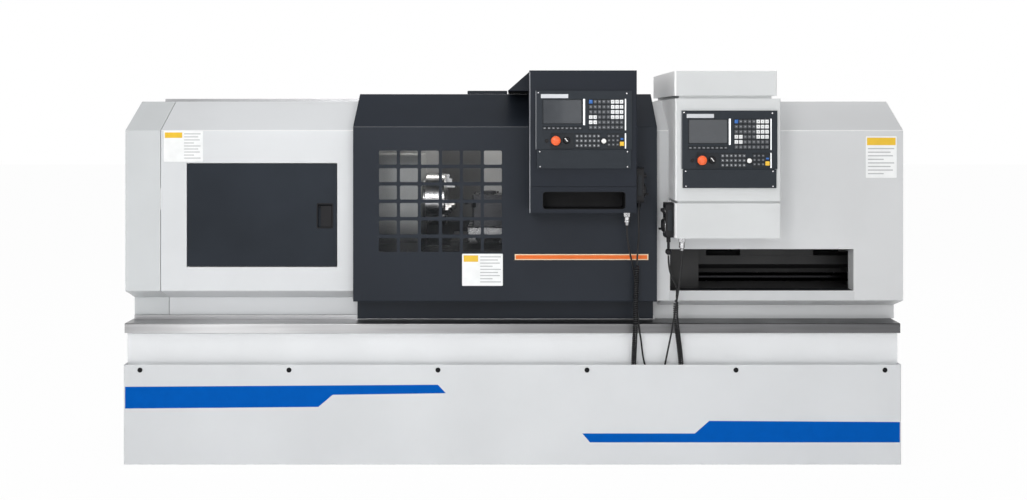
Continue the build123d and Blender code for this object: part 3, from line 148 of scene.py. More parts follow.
class Nodes:
    """A shader tree that is built one node at a time."""

    def __init__(self, tree):
        self.tree = tree

    def feed(self, socket, value):
        if isinstance(value, Signal):
            self.tree.links.new(value.socket, socket)
        elif isinstance(value, tuple) and len(value) == 3 and socket.type == "RGBA":
            socket.default_value = (*value, 1.0)
        else:
            socket.default_value = value

    def node(self, kind, settings=None, values=(), output=0):
        """Add a node; values is a list in socket order or a dictionary of socket names."""
        node = self.tree.nodes.new(kind)
        for key, value in (settings or {}).items():
            if key == "stops":
                self.set_stops(node.color_ramp, value)
            else:
                setattr(node, key, value)
        pairs = values.items() if isinstance(values, dict) else enumerate(values)
        for key, value in pairs:
            self.feed(node.inputs[key], value)
        return Signal(self, node.outputs[output])

    def set_stops(self, ramp, stops):
        while len(ramp.elements) < len(stops):
            ramp.elements.new(0.5)
        for element, (position, value) in zip(ramp.elements, stops):
            element.position = position
            element.color = (value, value, value, 1.0)

    def ramp(self, value, *stops):
        return self.node("ShaderNodeValToRGB", {"stops": stops}, [value])

    def looked_at(self):
        """1 for rays that see the background directly, in metal or through glass."""
        rays = [self.node("ShaderNodeLightPath", output=name)
                for name in ("Is Camera Ray", "Is Glossy Ray", "Is Transmission Ray")]
        return rays[0].math("MAXIMUM", rays[1]).math("MAXIMUM", rays[2])


class Finish(Nodes):
    """A procedural material, built up on its Principled shader."""

    def __init__(self, name, colour, roughness=0.5, metallic=0.0, coat=0.0, gloss=0.5):
        self.material = bpy.data.materials.new(name)
        self.material.use_nodes = True
        super().__init__(self.material.node_tree)
        self.shader = self.tree.nodes["Principled BSDF"]
        self.set("Base Color", colour)
        self.set("Roughness", roughness)
        self.shader.inputs["Metallic"].default_value = metallic
        self.shader.inputs["Coat Weight"].default_value = coat
        self.shader.inputs["Specular IOR Level"].default_value = gloss
        self.place = None

    def set(self, name, value):
        self.feed(self.shader.inputs[name], value)
        return self

    def coordinates(self):
        """Object coordinates in metres."""
        if self.place is None:
            self.place = self.node("ShaderNodeTexCoord", output=3)
        return self.place

    def axis(self, letter):
        return self.node("ShaderNodeSeparateXYZ", {}, [self.coordinates()], "XYZ".index(letter))

    def stretched(self, scale):
        return self.node("ShaderNodeMapping", {}, {"Vector": self.coordinates(), "Scale": scale})

    def noise(self, scale, detail=3.0, stretch=None):
        vector = self.coordinates() if stretch is None else self.stretched(stretch)
        return self.node("ShaderNodeTexNoise", {}, {"Vector": vector, "Scale": scale, "Detail": detail})

    def blend(self, factor, first, second):
        settings = {"data_type": "RGBA"}
        values = {0: factor, 6: first, 7: second}
        return self.node("ShaderNodeMix", settings, values, output=2)

    def over(self, cover, colour):
        """Lay a colour over the base colour, where cover is 1."""
        base = Signal(self, self.shader.inputs["Base Color"].links[0].from_socket)
        return self.set("Base Color", self.blend(cover, base, colour))

    def bump(self, height, strength, distance):
        values = {"Strength": strength, "Distance": distance, "Height": height}
        return self.set("Normal", self.node("ShaderNodeBump", {}, values))


def shade(colour, amount):
    return tuple(min(1.0, channel * amount) for channel in colour)


def powder_coat(name, colour, roughness=0.42, drift=0.05, gloss=0.5):
    """Sprayed enamel: fine orange peel, a slow drift of colour and a little handling."""
    finish = Finish(name, colour, roughness, gloss=gloss)
    peel = finish.noise(420.0, 2.0)
    cloud = finish.ramp(finish.noise(1.7, 4.0), (0.35, 0.0), (0.65, 1.0))
    light = shade(colour, 1.0 + drift / 2)
    finish.set("Base Color", finish.blend(cloud, shade(colour, 1.0 - drift), light))
    finish.set("Roughness", finish.noise(6.0, 5.0) * 0.14 + (roughness - 0.07))
    finish.bump(peel, 0.12, 0.0004)
    return finish


def painted_highlight_band(finish, letter, bend, colour, limits=()):
    """Paint a highlight on a sheet along a bend or edge, where the light would catch it; limits narrow it
    down.
    """
    highlight_mask = finish.axis(letter).between(*bend)
    for other, least, most in limits:
        highlight_mask = highlight_mask * finish.axis(other).between(least, most)
    return finish.over(highlight_mask, colour)


def painted_low_shade(finish):
    """Paint shade over what stands low in the machine, darker towards the bottom."""
    height = finish.axis("Z") + finish.noise(7.0, 5.0) * 0.06
    unshaded = finish.ramp(height - 0.45, (0.52, 0.0), (0.68, 1.0))
    return finish.over(1 - unshaded, (0.012, 0.012, 0.013)).set("Roughness", 0.55)


def brushed(name, colour, axis, roughness=0.32):
    """Metal with a fine grain along one axis."""
    stretch = {"X": (3.0, 500.0, 500.0), "Y": (500.0, 3.0, 500.0), "Z": (500.0, 500.0, 3.0)}[axis]
    finish = Finish(name, colour, roughness, metallic=1.0)
    grain = finish.noise(1.0, 4.0, stretch)
    smears = finish.ramp(finish.noise(5.0, 5.0), (0.3, 0.0), (0.75, 1.0))
    finish.set("Base Color", finish.blend(grain, shade(colour, 0.86), shade(colour, 1.08)))
    finish.set("Roughness", smears * 0.16 + roughness)
    finish.bump(grain, 0.25, 0.0002)
    return finish


def turned_metal(name, colour, roughness=0.25):
    finish = Finish(name, colour, roughness, metallic=1.0)
    mottle = finish.noise(40.0, 6.0)
    finish.set("Base Color", finish.blend(mottle, shade(colour, 0.85), shade(colour, 1.06)))
    finish.set("Roughness", finish.noise(9.0, 5.0) * 0.2 + (roughness - 0.08))
    finish.bump(finish.noise(900.0, 2.0), 0.1, 0.0002)
    return finish


def cast_paint(name, colour, roughness=0.5):
    finish = Finish(name, colour, roughness)
    skin = finish.noise(160.0, 5.0)
    patches = finish.ramp(finish.noise(4.0, 6.0), (0.35, 0.0), (0.7, 1.0))
    finish.set("Base Color", finish.blend(patches, shade(colour, 0.82), shade(colour, 1.06)))
    finish.set("Roughness", patches * 0.15 + (roughness - 0.05))
    finish.bump(skin, 0.35, 0.0008)
    return finish


def moulded(name, colour, roughness=0.5, grain=0.15, gloss=0.5):
    finish = Finish(name, colour, roughness, gloss=gloss)
    finish.set("Base Color", finish.blend(finish.noise(30.0, 4.0), shade(colour, 0.9), shade(colour, 1.08)))
    finish.set("Roughness", finish.noise(14.0, 4.0) * 0.14 + (roughness - 0.07))
    finish.bump(finish.noise(1400.0, 2.0), grain, 0.0002)
    return finish


def tray_steel():
    """The tray's brushed lip, with a painted reflection in streaks: bright under the headstock and dark
    towards the tailstock.
    """
    finish = brushed("tray_steel", (0.50, 0.50, 0.51), "X")
    # A painted reflection along the lip, in streaks.
    along = finish.axis("X") * 0.29 + 0.5
    reflection_tone = finish.ramp(along, (0.0, 0.4), (0.13, 0.66), (0.3, 0.42), (0.5, 0.22), (0.75, 0.13), (1.0, 0.1))
    reflection_streaks = finish.noise(1.0, 3.0, (2.2, 40.0, 60.0))
    dim_reflection = finish.blend(reflection_tone, (0.0, 0.0, 0.0), (0.62, 0.62, 0.63))
    bright = finish.blend(reflection_tone, (0.03, 0.03, 0.035), (0.95, 0.95, 0.96))
    return finish.set("Base Color", finish.blend(reflection_streaks, dim_reflection, bright))


def inside_paint():
    """The rear sheet: its own paint at the window, with painted shade on its inside below and beyond it and
    in one upright band.
    """
    finish = powder_coat("inside_paint", (0.66, 0.67, 0.68), 0.5)
    x, y, z = finish.axis("X"), finish.axis("Y"), finish.axis("Z")
    inner = y < INSIDE_FACE
    # Painted shade beyond the window, low down and in a band, on the inside face only.
    shade_beyond_window = finish.ramp(x + finish.noise(2.0, 5.0) * 0.1, (0.42, 0.0), (0.6, 1.0))
    low = finish.ramp(z + finish.noise(5.0, 5.0) * 0.1 - 0.6, (0.42, 1.0), (0.6, 0.0))
    shade_band = x.between(-0.385, -0.16) * 0.85
    dark = shade_beyond_window.math("MAXIMUM", low).math("MAXIMUM", shade_band)
    return finish.over(inner * dark, (0.014, 0.015, 0.017))


def tail_paint_shaded():
    """The tail cover's paint: a darker copy of the headstock cover's paint as painted shade, with a painted
    highlight along its bend and painted shade on the slot's frame apart from its right jamb.
    """
    finish = painted_highlight_band(powder_coat("tail_paint_shaded", (0.635, 0.645, 0.655)), "Z", COVER_BEND_HIGHLIGHT, (0.9, 0.9, 0.9))
    x, y, z = finish.axis("X"), finish.axis("Y"), finish.axis("Z")
    # Painted shade on the slot's frame faces; the right jamb stays lit.
    slot_frame_shade = x.between(0.688, 1.5025) * y.between(-0.4795, -0.38) * z.between(0.755, 0.946)
    return finish.over(slot_frame_shade, (0.012, 0.013, 0.015))


def hood_paint():
    """Charcoal enamel with a painted highlight along the brow's bend, left of the first console."""
    finish = powder_coat("hood_paint", (0.018, 0.0225, 0.031), 0.4, 0.16, 0.14)
    return painted_highlight_band(finish, "Z", HOOD_BEND_HIGHLIGHT, (0.10, 0.105, 0.115), [("X", -1.0, 0.09)])


def fascia_moulding():
    """Charcoal plastic with a painted highlight down its left edge on either console."""
    finish = moulded("fascia_plastic", (0.024, 0.029, 0.036), 0.48, gloss=0.14)
    for x, _, _ in FASCIAS.values():
        painted_highlight_band(finish, "X", [(x + step) * MM for step in FASCIA_GLINT], (0.22, 0.23, 0.245))
    return finish


def console_paint():
    """The first console's charcoal, with a painted highlight down the bend of its left edge."""
    finish = powder_coat("console_paint", (0.014, 0.0175, 0.025), 0.42, 0.14, 0.13)
    edge = [("Y", -0.71, -0.698), ("Z", 1.1, 1.716)]
    return painted_highlight_band(finish, "X", CONSOLE_A_EDGE_HIGHLIGHT, (0.27, 0.28, 0.30), edge)


def glass():
    finish = Finish("window_glass", (0.10, 0.11, 0.12), 0.08)
    finish.set("Alpha", finish.ramp(finish.noise(3.0, 4.0), (0.3, 0.04), (0.8, 0.10)))
    finish.material.surface_render_method = "BLENDED"
    return finish


def lamp_glow():
    finish = Finish("lamp_glow", (0.9, 0.9, 0.88), 0.4)
    finish.set("Emission Color", (1.0, 0.97, 0.92))
    finish.set("Emission Strength", 7.0)
    return finish.bump(finish.noise(60.0, 2.0), 0.1, 0.0005)


def screen_face():
    """A dark switched-off panel with a faint cool sheen."""
    finish = Finish("screen_face", (0.02, 0.024, 0.03), 0.16, coat=0.15, gloss=0.35)
    haze = finish.noise(9.0, 5.0)
    finish.set("Base Color", finish.blend(haze, (0.014, 0.018, 0.024), (0.045, 0.052, 0.062)))
    return finish.set("Roughness", finish.noise(25.0, 4.0) * 0.1 + 0.12)


def make_finishes():
    """Every finish by a short name."""
    made = {
        # The covers carry a painted highlight along the brow's bend, and the second console a painted
        # highlight on its left side faces.
        "cover": painted_highlight_band(powder_coat("cover_paint", (0.66, 0.675, 0.69)), "Z", COVER_BEND_HIGHLIGHT, (0.9, 0.9, 0.9)),
        "console_light": painted_highlight_band(powder_coat("console_light_paint", (0.61, 0.625, 0.63)), "X",
                                 CONSOLE_B_SIDE_HIGHLIGHT, (0.93, 0.935, 0.94)),
        "tail": tail_paint_shaded(),
        "sill": powder_coat("sill_paint", (0.56, 0.57, 0.58)),
        "inside": inside_paint(),
        "end": powder_coat("end_paint", (0.585, 0.605, 0.615)),
        "base": powder_coat("base_paint", (0.79, 0.805, 0.82), 0.45),
        "apron": powder_coat("apron_paint", (0.65, 0.665, 0.68), 0.45),
        "hood": hood_paint(),
        "console_dark": console_paint(),
        "door": powder_coat("door_paint", (0.019, 0.024, 0.032), 0.5, 0.25, 0.14),
        "blue_vinyl": moulded("blue_vinyl", (0.0, 0.095, 0.44), 0.5, 0.05, 0.03),
        "orange_vinyl": moulded("orange_vinyl", (0.82, 0.17, 0.032), 0.5, 0.05, 0.2),
        "cream_vinyl": moulded("cream_vinyl", (0.86, 0.66, 0.45), 0.5, 0.05, 0.2),
        "notice": moulded("notice_plate", (0.86, 0.87, 0.87), 0.4, 0.03),
        "notice_bar": moulded("notice_bar", (0.45, 0.46, 0.47), 0.5, 0.03),
        "cabinet": powder_coat("cabinet_paint", (0.60, 0.61, 0.61), 0.5),
        "tank": powder_coat("tank_paint", (0.12, 0.13, 0.14), 0.5),
        "motor": cast_paint("motor_paint", (0.035, 0.038, 0.042)),
        "tray": tray_steel(),
        "rail": brushed("rail_steel", (0.42, 0.42, 0.43), "X"),
        "headstock": painted_low_shade(cast_paint("headstock_paint", (0.74, 0.76, 0.76))),
        "casting": painted_low_shade(cast_paint("casting_paint", (0.42, 0.45, 0.45))),
        "machined": painted_low_shade(turned_metal("machined_steel", (0.62, 0.62, 0.63))),
        "black_oxide": turned_metal("blackened_steel", (0.07, 0.07, 0.075), 0.4),
        "foot": turned_metal("foot_steel", (0.3, 0.3, 0.3), 0.45),
        "screw": turned_metal("screw_black", (0.015, 0.015, 0.016), 0.4),
        "rubber": moulded("rubber", (0.012, 0.012, 0.013), 0.6),
        "cord": moulded("cord_jacket", (0.007, 0.007, 0.008), 0.38, gloss=0.35),
        "pane": glass(),
        "lamp": lamp_glow(),
        "fascia": fascia_moulding(),
        "recess": moulded("recess_plastic", (0.016, 0.019, 0.023), 0.5, gloss=0.2),
        "key_dark": moulded("key_dark", (0.075, 0.08, 0.09), 0.5),
        "key_white": moulded("key_white", (0.83, 0.84, 0.85), 0.4),
        "key_blue": moulded("key_blue", (0.02, 0.13, 0.45), 0.4),
        "key_yellow": moulded("key_yellow", (0.85, 0.50, 0.03), 0.4),
        "black": moulded("black_plastic", (0.008, 0.008, 0.0095), 0.45, gloss=0.2),
        "stop": moulded("stop_orange", (0.86, 0.12, 0.02), 0.35, 0.05),
        "white": moulded("white_plastic", (0.84, 0.84, 0.83), 0.35, 0.05),
        "chrome": turned_metal("connector_chrome", (0.46, 0.46, 0.47), 0.22),
        "notice_band": moulded("notice_band", (0.80, 0.50, 0.02), 0.4, 0.03),
        "brush": moulded("brush_seal", (0.010, 0.010, 0.011), 0.8, gloss=0.1),
        "liner": moulded("pocket_shade_liner", (0.008, 0.008, 0.009), 0.6, gloss=0.2),
        "dial": turned_metal("dial_metal", (0.55, 0.55, 0.56), 0.3),
        "name_strip": brushed("name_strip", (0.42, 0.43, 0.45), "X", 0.4),
        "mark": moulded("key_mark", (0.42, 0.44, 0.46), 0.6),
        "ink": moulded("key_ink", (0.06, 0.065, 0.07), 0.6),
        "bezel": brushed("bezel_strip", (0.75, 0.77, 0.79), "Z", 0.25),
        "screen": screen_face(),
    }
    return {key: finish.material for key, finish in made.items()}


NODE_FINISHES = {
    "cover": ["headstock_cover"],
    "console_light": ["console_b"],
    "tail": ["tail_cover"],
    "inside": ["rear_cover"],
    "end": ["end_cover"],
    "base": ["base_frame"],
    "apron": ["front_apron"],
    "hood": ["sliding_hood"],
    "console_dark": ["console_a"],
    "door": ["access_door"],
    "cabinet": ["electrical_cabinet", "cabinet_door"],
    "tank": ["coolant_tank"],
    "motor": ["spindle_motor"],
    "tray": ["chip_tray"],
    "rail": ["hood_rails"],
    "headstock": ["headstock"],
    "casting": ["bed", "carriage_a", "carriage_b", "tailstock"],
    "machined": ["z_screw", "spindle", "chuck_body", "jaw_1", "jaw_2", "jaw_3", "motor_pulley",
                 "cross_slide_a", "cross_slide_b", "quill"],
    "black_oxide": ["turret_a"],
    "foot": ["levelling_feet"],
    "screw": ["apron_screws"],
    "rubber": ["drive_belt"],
    "pane": ["window_pane"],
    "lamp": ["work_lamp"],
    "fascia": ["fascia_a", "fascia_b"],
    "key_dark": ["keypads"],
    "black": ["latch_paddle", "knob_a", "knob_b", "pendant_a", "pendant_b", "wheel_a", "wheel_b",
              "axis_knob_a", "step_knob_a", "axis_knob_b", "step_knob_b"],
    "stop": ["e_stop_a", "e_stop_b"],
    "white": ["cycle_button_a", "cycle_button_b"],
    "chrome": ["connectors"],
    "cord": ["cord_a_leads", "cord_a_coil", "cord_b_leads", "cord_b_coil"],
}


def dress_nodes(finishes):
    for key, nodes in NODE_FINISHES.items():
        for node in nodes:
            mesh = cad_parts[node].data
            mesh.materials.clear()
            mesh.materials.append(finishes[key])


# Stage

FLOOR_HALF = 30.0
FLOOR_WHITE = 0.97
AMBIENT = 0.40
SKY = ((0.35, 1.0), (0.85, 0.3))
# Each lamp's place, target, size and power.
LAMPS = {
    "key": ((-0.9, -4.8, 2.5), (0.0, 0.0, 0.9), (0.9, 0.9), 48.0),
    "fill": ((1.6, -5.8, 2.2), (0.3, 0.0, 0.9), (2.4, 2.4), 35.0),
    "low_fill": ((0.0, -3.6, 0.3), (0.0, 0.0, 0.55), (6.0, 0.5), 21.0),
    "edge": ((-4.6, -2.0, 1.6), (0.2, -0.6, 1.2), (0.5, 3.0), 23.0),
    "top": ((0.0, -1.6, 4.4), (0.0, -0.3, 1.4), (4.5, 1.2), 54.0),
    "rear": ((0.5, 4.8, 4.2), (0.0, 0.0, 1.0), (3.5, 3.5), 150.0),
}


def make_stage():
    """A wide pale floor that looks white and keeps the machine's shadow."""
    finish = Finish("studio_floor", (0.86, 0.86, 0.86), 0.8)
    glow = finish.node("ShaderNodeEmission", {}, {"Color": (1.0, 1.0, 1.0), "Strength": 1.0})
    surface = Signal(finish, finish.shader.outputs[0])
    share = finish.looked_at() * FLOOR_WHITE
    mixed = finish.node("ShaderNodeMixShader", {}, [share, surface, glow])
    finish.feed(finish.tree.nodes["Material Output"].inputs["Surface"], mixed)
    mesh = bpy.data.meshes.new("studio_floor")
    corners = [(x * FLOOR_HALF, y * FLOOR_HALF, 0.0) for x, y in ((-1, -1), (1, -1), (1, 1), (-1, 1))]
    mesh.from_pydata(corners, [], [(0, 1, 2, 3)])
    mesh.materials.append(finish.material)
    floor = bpy.data.objects.new("studio_floor", mesh)
    scene.collection.objects.link(floor)


def light_stage():
    """A white surround that is darker overhead, and soft lamps from the front left."""
    world = bpy.data.worlds.new("studio")
    world.use_nodes = True
    scene.world = world
    sky = Nodes(world.node_tree)
    up = sky.node("ShaderNodeSeparateXYZ", {}, [sky.node("ShaderNodeTexCoord")], 2)
    seen = sky.looked_at()
    strength = seen * sky.ramp(up, *SKY) + (1 - seen) * AMBIENT
    background = world.node_tree.nodes["Background"]
    background.inputs["Color"].default_value = (1.0, 1.0, 1.0, 1.0)
    sky.feed(background.inputs["Strength"], strength)
    for name, (place, target, size, power) in LAMPS.items():
        lamp = bpy.data.lights.new(name, "AREA")
        lamp.shape = "RECTANGLE"
        lamp.size, lamp.size_y = size
        lamp.energy = power
        light = bpy.data.objects.new(name, lamp)
        light.location = place
        light.rotation_euler = (Vector(target) - Vector(place)).to_track_quat("-Z", "Y").to_euler()
        light.visible_camera = False
        scene.collection.objects.link(light)


# Cords: the drawing's route points in millimetres.

CORD_ROUTES = {
    "tail_a": [(541, -610, 1138), (541, -610, 1085), (543, -605, 1030), (543, -595, 994),
               (540, -582.3, 950), (538, -580, 905)],
    "coil_a": [(538, -580, 905), (533, -574, 776), (534, -556, 650), (532, -532, 539),
               (532, -501, 452), (532, -494, 392), (532, -494, 330)],
    "lead_a": [(492, -600, 1060), (492, -600, 1020), (500, -595, 968), (512, -578, 915),
               (526, -556, 858), (535, -543, 790), (540, -537, 715), (547, -534, 650),
               (553, -530, 600), (562, -517, 551), (569, -502, 500), (576, -495, 455),
               (591, -494, 410), (611, -494, 367), (624, -494, 328), (624, -494, 292),
               (597, -494, 265), (559, -494, 265), (532, -494, 292), (532, -494, 330)],
    "tail_b": [(669, -610, 932), (669, -610, 895), (678, -605, 852), (696, -590, 818),
               (712, -571.5, 786), (710, -566, 748)],
    "coil_b": [(710, -566, 748), (706, -558, 680), (712, -553, 622), (722, -535, 562),
               (733, -512, 496), (740, -498, 441), (741, -494, 386), (741, -494, 330)],
    "lead_b": [(728, -600, 951), (728, -600, 912), (724, -600, 865), (718, -598, 815),
               (712, -594, 765), (703, -587, 705), (695, -578, 640), (687, -560, 580),
               (678, -528, 508), (670, -502, 444), (663, -494, 400), (655, -494, 360),
               (649, -494, 325), (649, -494, 292), (676, -494, 265), (714, -494, 265),
               (741, -494, 292), (741, -494, 330)],
}


def spline_curve(name, points, bevel=0.0, roundness=5):
    curve = bpy.data.curves.new(name, "CURVE")
    curve.dimensions = "3D"
    curve.resolution_u = 16
    spline = curve.splines.new("NURBS")
    spline.points.add(len(points) - 1)
    for point, place in zip(spline.points, points):
        point.co = (*[value * MM for value in place], 1.0)
    spline.order_u = 3
    spline.use_endpoint_u = True
    curve.bevel_depth = bevel
    curve.bevel_resolution = roundness
    curve.use_fill_caps = bevel > 0.0
    piece = bpy.data.objects.new(name, curve)
    scene.collection.objects.link(piece)
    return piece


def read_line(name, points):
    """The points of the route's smooth line."""
    guide = spline_curve(name, points)
    bpy.context.view_layer.update()
    line = bpy.data.meshes.new_from_object(guide.evaluated_get(bpy.context.evaluated_depsgraph_get()))
    places = [vertex.co.copy() for vertex in line.vertices]
    bpy.data.objects.remove(guide)
    return places


def line_length(places):
    return sum((b - a).length for a, b in zip(places, places[1:]))


def hang(piece, finish, replaced, length):
    """Give a cord's piece its finish, hang it on the root and hide the solids that it stands for; the length
    is not used.
    """
    piece.data.materials.append(finish)
    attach(piece, "root")
    if replaced:
        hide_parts(*replaced)


def lead(name, finish, replaced=()):
    """A smooth lead along its route, from the piece that it leaves to where it goes in."""
    places = read_line(name, CORD_ROUTES[name])
    piece = spline_curve(name, CORD_ROUTES[name], CORD_R * MM)
    hang(piece, finish, replaced, line_length(places))


def helix_places(line, radius, pitch, end, steps_per_turn):
    """Points of a helix about a line, which straightens out over a length at either end."""
    total = line_length(line)
    count = round(total / pitch) * steps_per_turn
    places, side = [], Vector((1.0, 0.0, 0.0))
    travelled, index, angle = 0.0, 0, 0.0
    for step in range(count + 1):
        target = total * step / count
        while index < len(line) - 2 and travelled + (line[index + 1] - line[index]).length < target:
            travelled += (line[index + 1] - line[index]).length
            index += 1
        run = line[index + 1] - line[index]
        centre = line[index] + run * ((target - travelled) / run.length)
        along = run.normalized()
        side = (side - along * side.dot(along)).normalized()
        share = min(1.0, target / end, (total - target) / end)
        angle += 2.0 * math.pi / steps_per_turn * share
        offset = side * math.cos(angle) + along.cross(side) * math.sin(angle)
        places.append(centre + offset * radius * share * share * (3.0 - 2.0 * share))
    return places


def curly_cord(name, finish, node):
    """The coiled stretch of a pendant's cord."""
    line = read_line(name, CORD_ROUTES[name])
    mean_radius = (COIL_R - COIL_WIRE_R) * MM
    places = helix_places(line, mean_radius, COIL_PITCH * MM, COIL_END * MM, COIL_STEPS)
    piece = spline_curve(name, [place / MM for place in places], COIL_WIRE_R * MM, 3)
    length = line_length(places) * COIL_SMOOTHING
    hang(piece, finish, [node], length)


def make_cords(finishes):
    finish = finishes["cord"]
    for letter in "ab":
        lead(f"tail_{letter}", finish)
        curly_cord(f"coil_{letter}", finish, f"cord_{letter}_coil")
        lead(f"lead_{letter}", finish, [f"cord_{letter}_leads"])


# Shapes

def show(name, mesh, finish, body="root", smooth=35.0, replaces=()):
    """Make a mesh a piece that rides on a body and may replace nodes."""
    mesh.name = name
    mesh.materials.clear()
    mesh.materials.append(finish)
    mesh.shade_smooth()
    mesh.set_sharp_from_angle(angle=math.radians(smooth))
    piece = bpy.data.objects.new(name, mesh)
    scene.collection.objects.link(piece)
    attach(piece, body)
    if replaces:
        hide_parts(*replaces)
    return piece


def solid_mesh(points, faces):
    """A closed mesh in millimetres with its faces pointing outwards."""
    mesh = bpy.data.meshes.new("solid")
    form = bmesh.new()
    vertices = [form.verts.new([value * MM for value in point]) for point in points]
    for face in faces:
        form.faces.new([vertices[i] for i in face])
    bmesh.ops.recalc_face_normals(form, faces=form.faces)
    form.to_mesh(mesh)
    form.free()
    return mesh


def lathe(profile, origin, direction, sides=48, knurl=(0.0, 0.0), cut=0.0):
    """Revolve (distance, radius) pairs about an axis; ends at radius 0 close in one point.

    Between the two knurl distances every second side is cut in, which makes fine ridges.
    """
    along = Vector(direction)
    across = Vector((0, 0, 1)) if abs(direction[2]) < 0.5 else Vector((1, 0, 0))
    third = along.cross(across)
    points, rings = [], []
    for distance, radius in profile:
        centre = Vector(origin) + along * distance
        if radius == 0:
            rings.append([len(points)] * sides)
            points.append(centre)
            continue
        rings.append(list(range(len(points), len(points) + sides)))
        ridged = knurl[0] < distance < knurl[1]
        for i in range(sides):
            angle = 2.0 * math.pi * i / sides
            reach = radius - cut * (i % 2) * ridged
            points.append(centre + (across * math.cos(angle) + third * math.sin(angle)) * reach)
    faces = []
    for low, high in zip(rings, rings[1:]):
        for i in range(sides):
            j = (i + 1) % sides
            corners = [low[i], low[j], high[j], high[i]]
            faces.append(list(dict.fromkeys(corners)))
    return solid_mesh(points, faces)


def rounded(x, z, corner, steps=5):
    """A rounded rectangle's outline between pairs of x and z."""
    outline = []
    for i, (sx, sz) in enumerate(((1, 1), (-1, 1), (-1, -1), (1, -1))):
        cx = x[1] - corner if sx > 0 else x[0] + corner
        cz = z[1] - corner if sz > 0 else z[0] + corner
        for step in range(steps + 1):
            angle = math.pi / 2 * (i + step / steps)
            outline.append((cx + corner * math.cos(angle), cz + corner * math.sin(angle)))
    return outline


def walled(loops, ring=False):
    """Join outlines at their depths one to the next; a ring also joins the last to the first."""
    count = len(loops[0][0])
    points = [(px, depth, pz) for outline, depth in loops for px, pz in outline]
    steps = list(range(len(loops) - 1))
    faces = []
    if ring:
        steps.append(len(loops) - 1)
    else:
        faces = [list(range(count)), list(range(len(points) - count, len(points)))]
    for step in steps:
        low, high = step * count, (step + 1) % len(loops) * count
        for i in range(count):
            j = (i + 1) % count
            faces.append([low + i, low + j, high + j, high + i])
    return solid_mesh(points, faces)


def inset(x, z, by, corner):
    """The rounded outline of a rectangle that is smaller by a margin all round."""
    return rounded((x[0] + by, x[1] - by), (z[0] + by, z[1] - by), corner)


def plate(x, z, y, corner, edge):
    """A rounded plate facing the operator, from y[0] at its face to y[1], with a softened rim."""
    outer = rounded(x, z, corner)
    inner = inset(x, z, edge, max(corner - edge, 0.1))
    return walled([(outer, y[1]), (outer, y[0] + edge), (inner, y[0])])


def rim(x, z, y, corner, width, edge):
    """A rounded frame facing the operator."""
    steps = [(0, y[1]), (0, y[0] + edge), (edge, y[0]), (width - edge, y[0]), (width, y[0] + edge),
             (width, y[1])]
    return walled([(inset(x, z, by, max(corner - by, 0.3)), depth) for by, depth in steps], ring=True)


def prism(outline, y):
    """A thin plate with straight edges, facing the operator."""
    return walled([(outline, depth) for depth in y])


def joined(meshes):
    form = bmesh.new()
    for mesh in meshes:
        form.from_mesh(mesh)
    whole = bpy.data.meshes.new("joined")
    form.to_mesh(whole)
    form.free()
    return whole


class Grower:
    """A Geometry Nodes tree with named inputs, built one node at a time."""

    def __init__(self, name, sizes):
        self.tree = bpy.data.node_groups.new(name, "GeometryNodeTree")
        sockets = self.tree.interface
        sockets.new_socket("Geometry", in_out="OUTPUT", socket_type="NodeSocketGeometry")
        sockets.new_socket("Geometry", in_out="INPUT", socket_type="NodeSocketGeometry")
        for size in sizes:
            sockets.new_socket(size, in_out="INPUT", socket_type="NodeSocketFloat")
        sockets.new_socket("Turn", in_out="INPUT", socket_type="NodeSocketRotation")
        sockets.new_socket("Material", in_out="INPUT", socket_type="NodeSocketMaterial")
        self.given = self.tree.nodes.new("NodeGroupInput").outputs

    def add(self, kind, settings=None, **values):
        """Add a node; names of values are socket names with spaces as underscores."""
        node = self.tree.nodes.new(kind)
        for key, value in (settings or {}).items():
            setattr(node, key, value)
        for key, value in values.items():
            socket = next(s for s in node.inputs if s.name == key.replace("_", " ") and s.enabled)
            if isinstance(value, bpy.types.NodeSocket):
                self.tree.links.new(value, socket)
            else:
                socket.default_value = value
        return node.outputs

    def finish(self, geometry):
        end = self.tree.nodes.new("NodeGroupOutput")
        self.tree.links.new(geometry, end.inputs["Geometry"])
        return self.tree


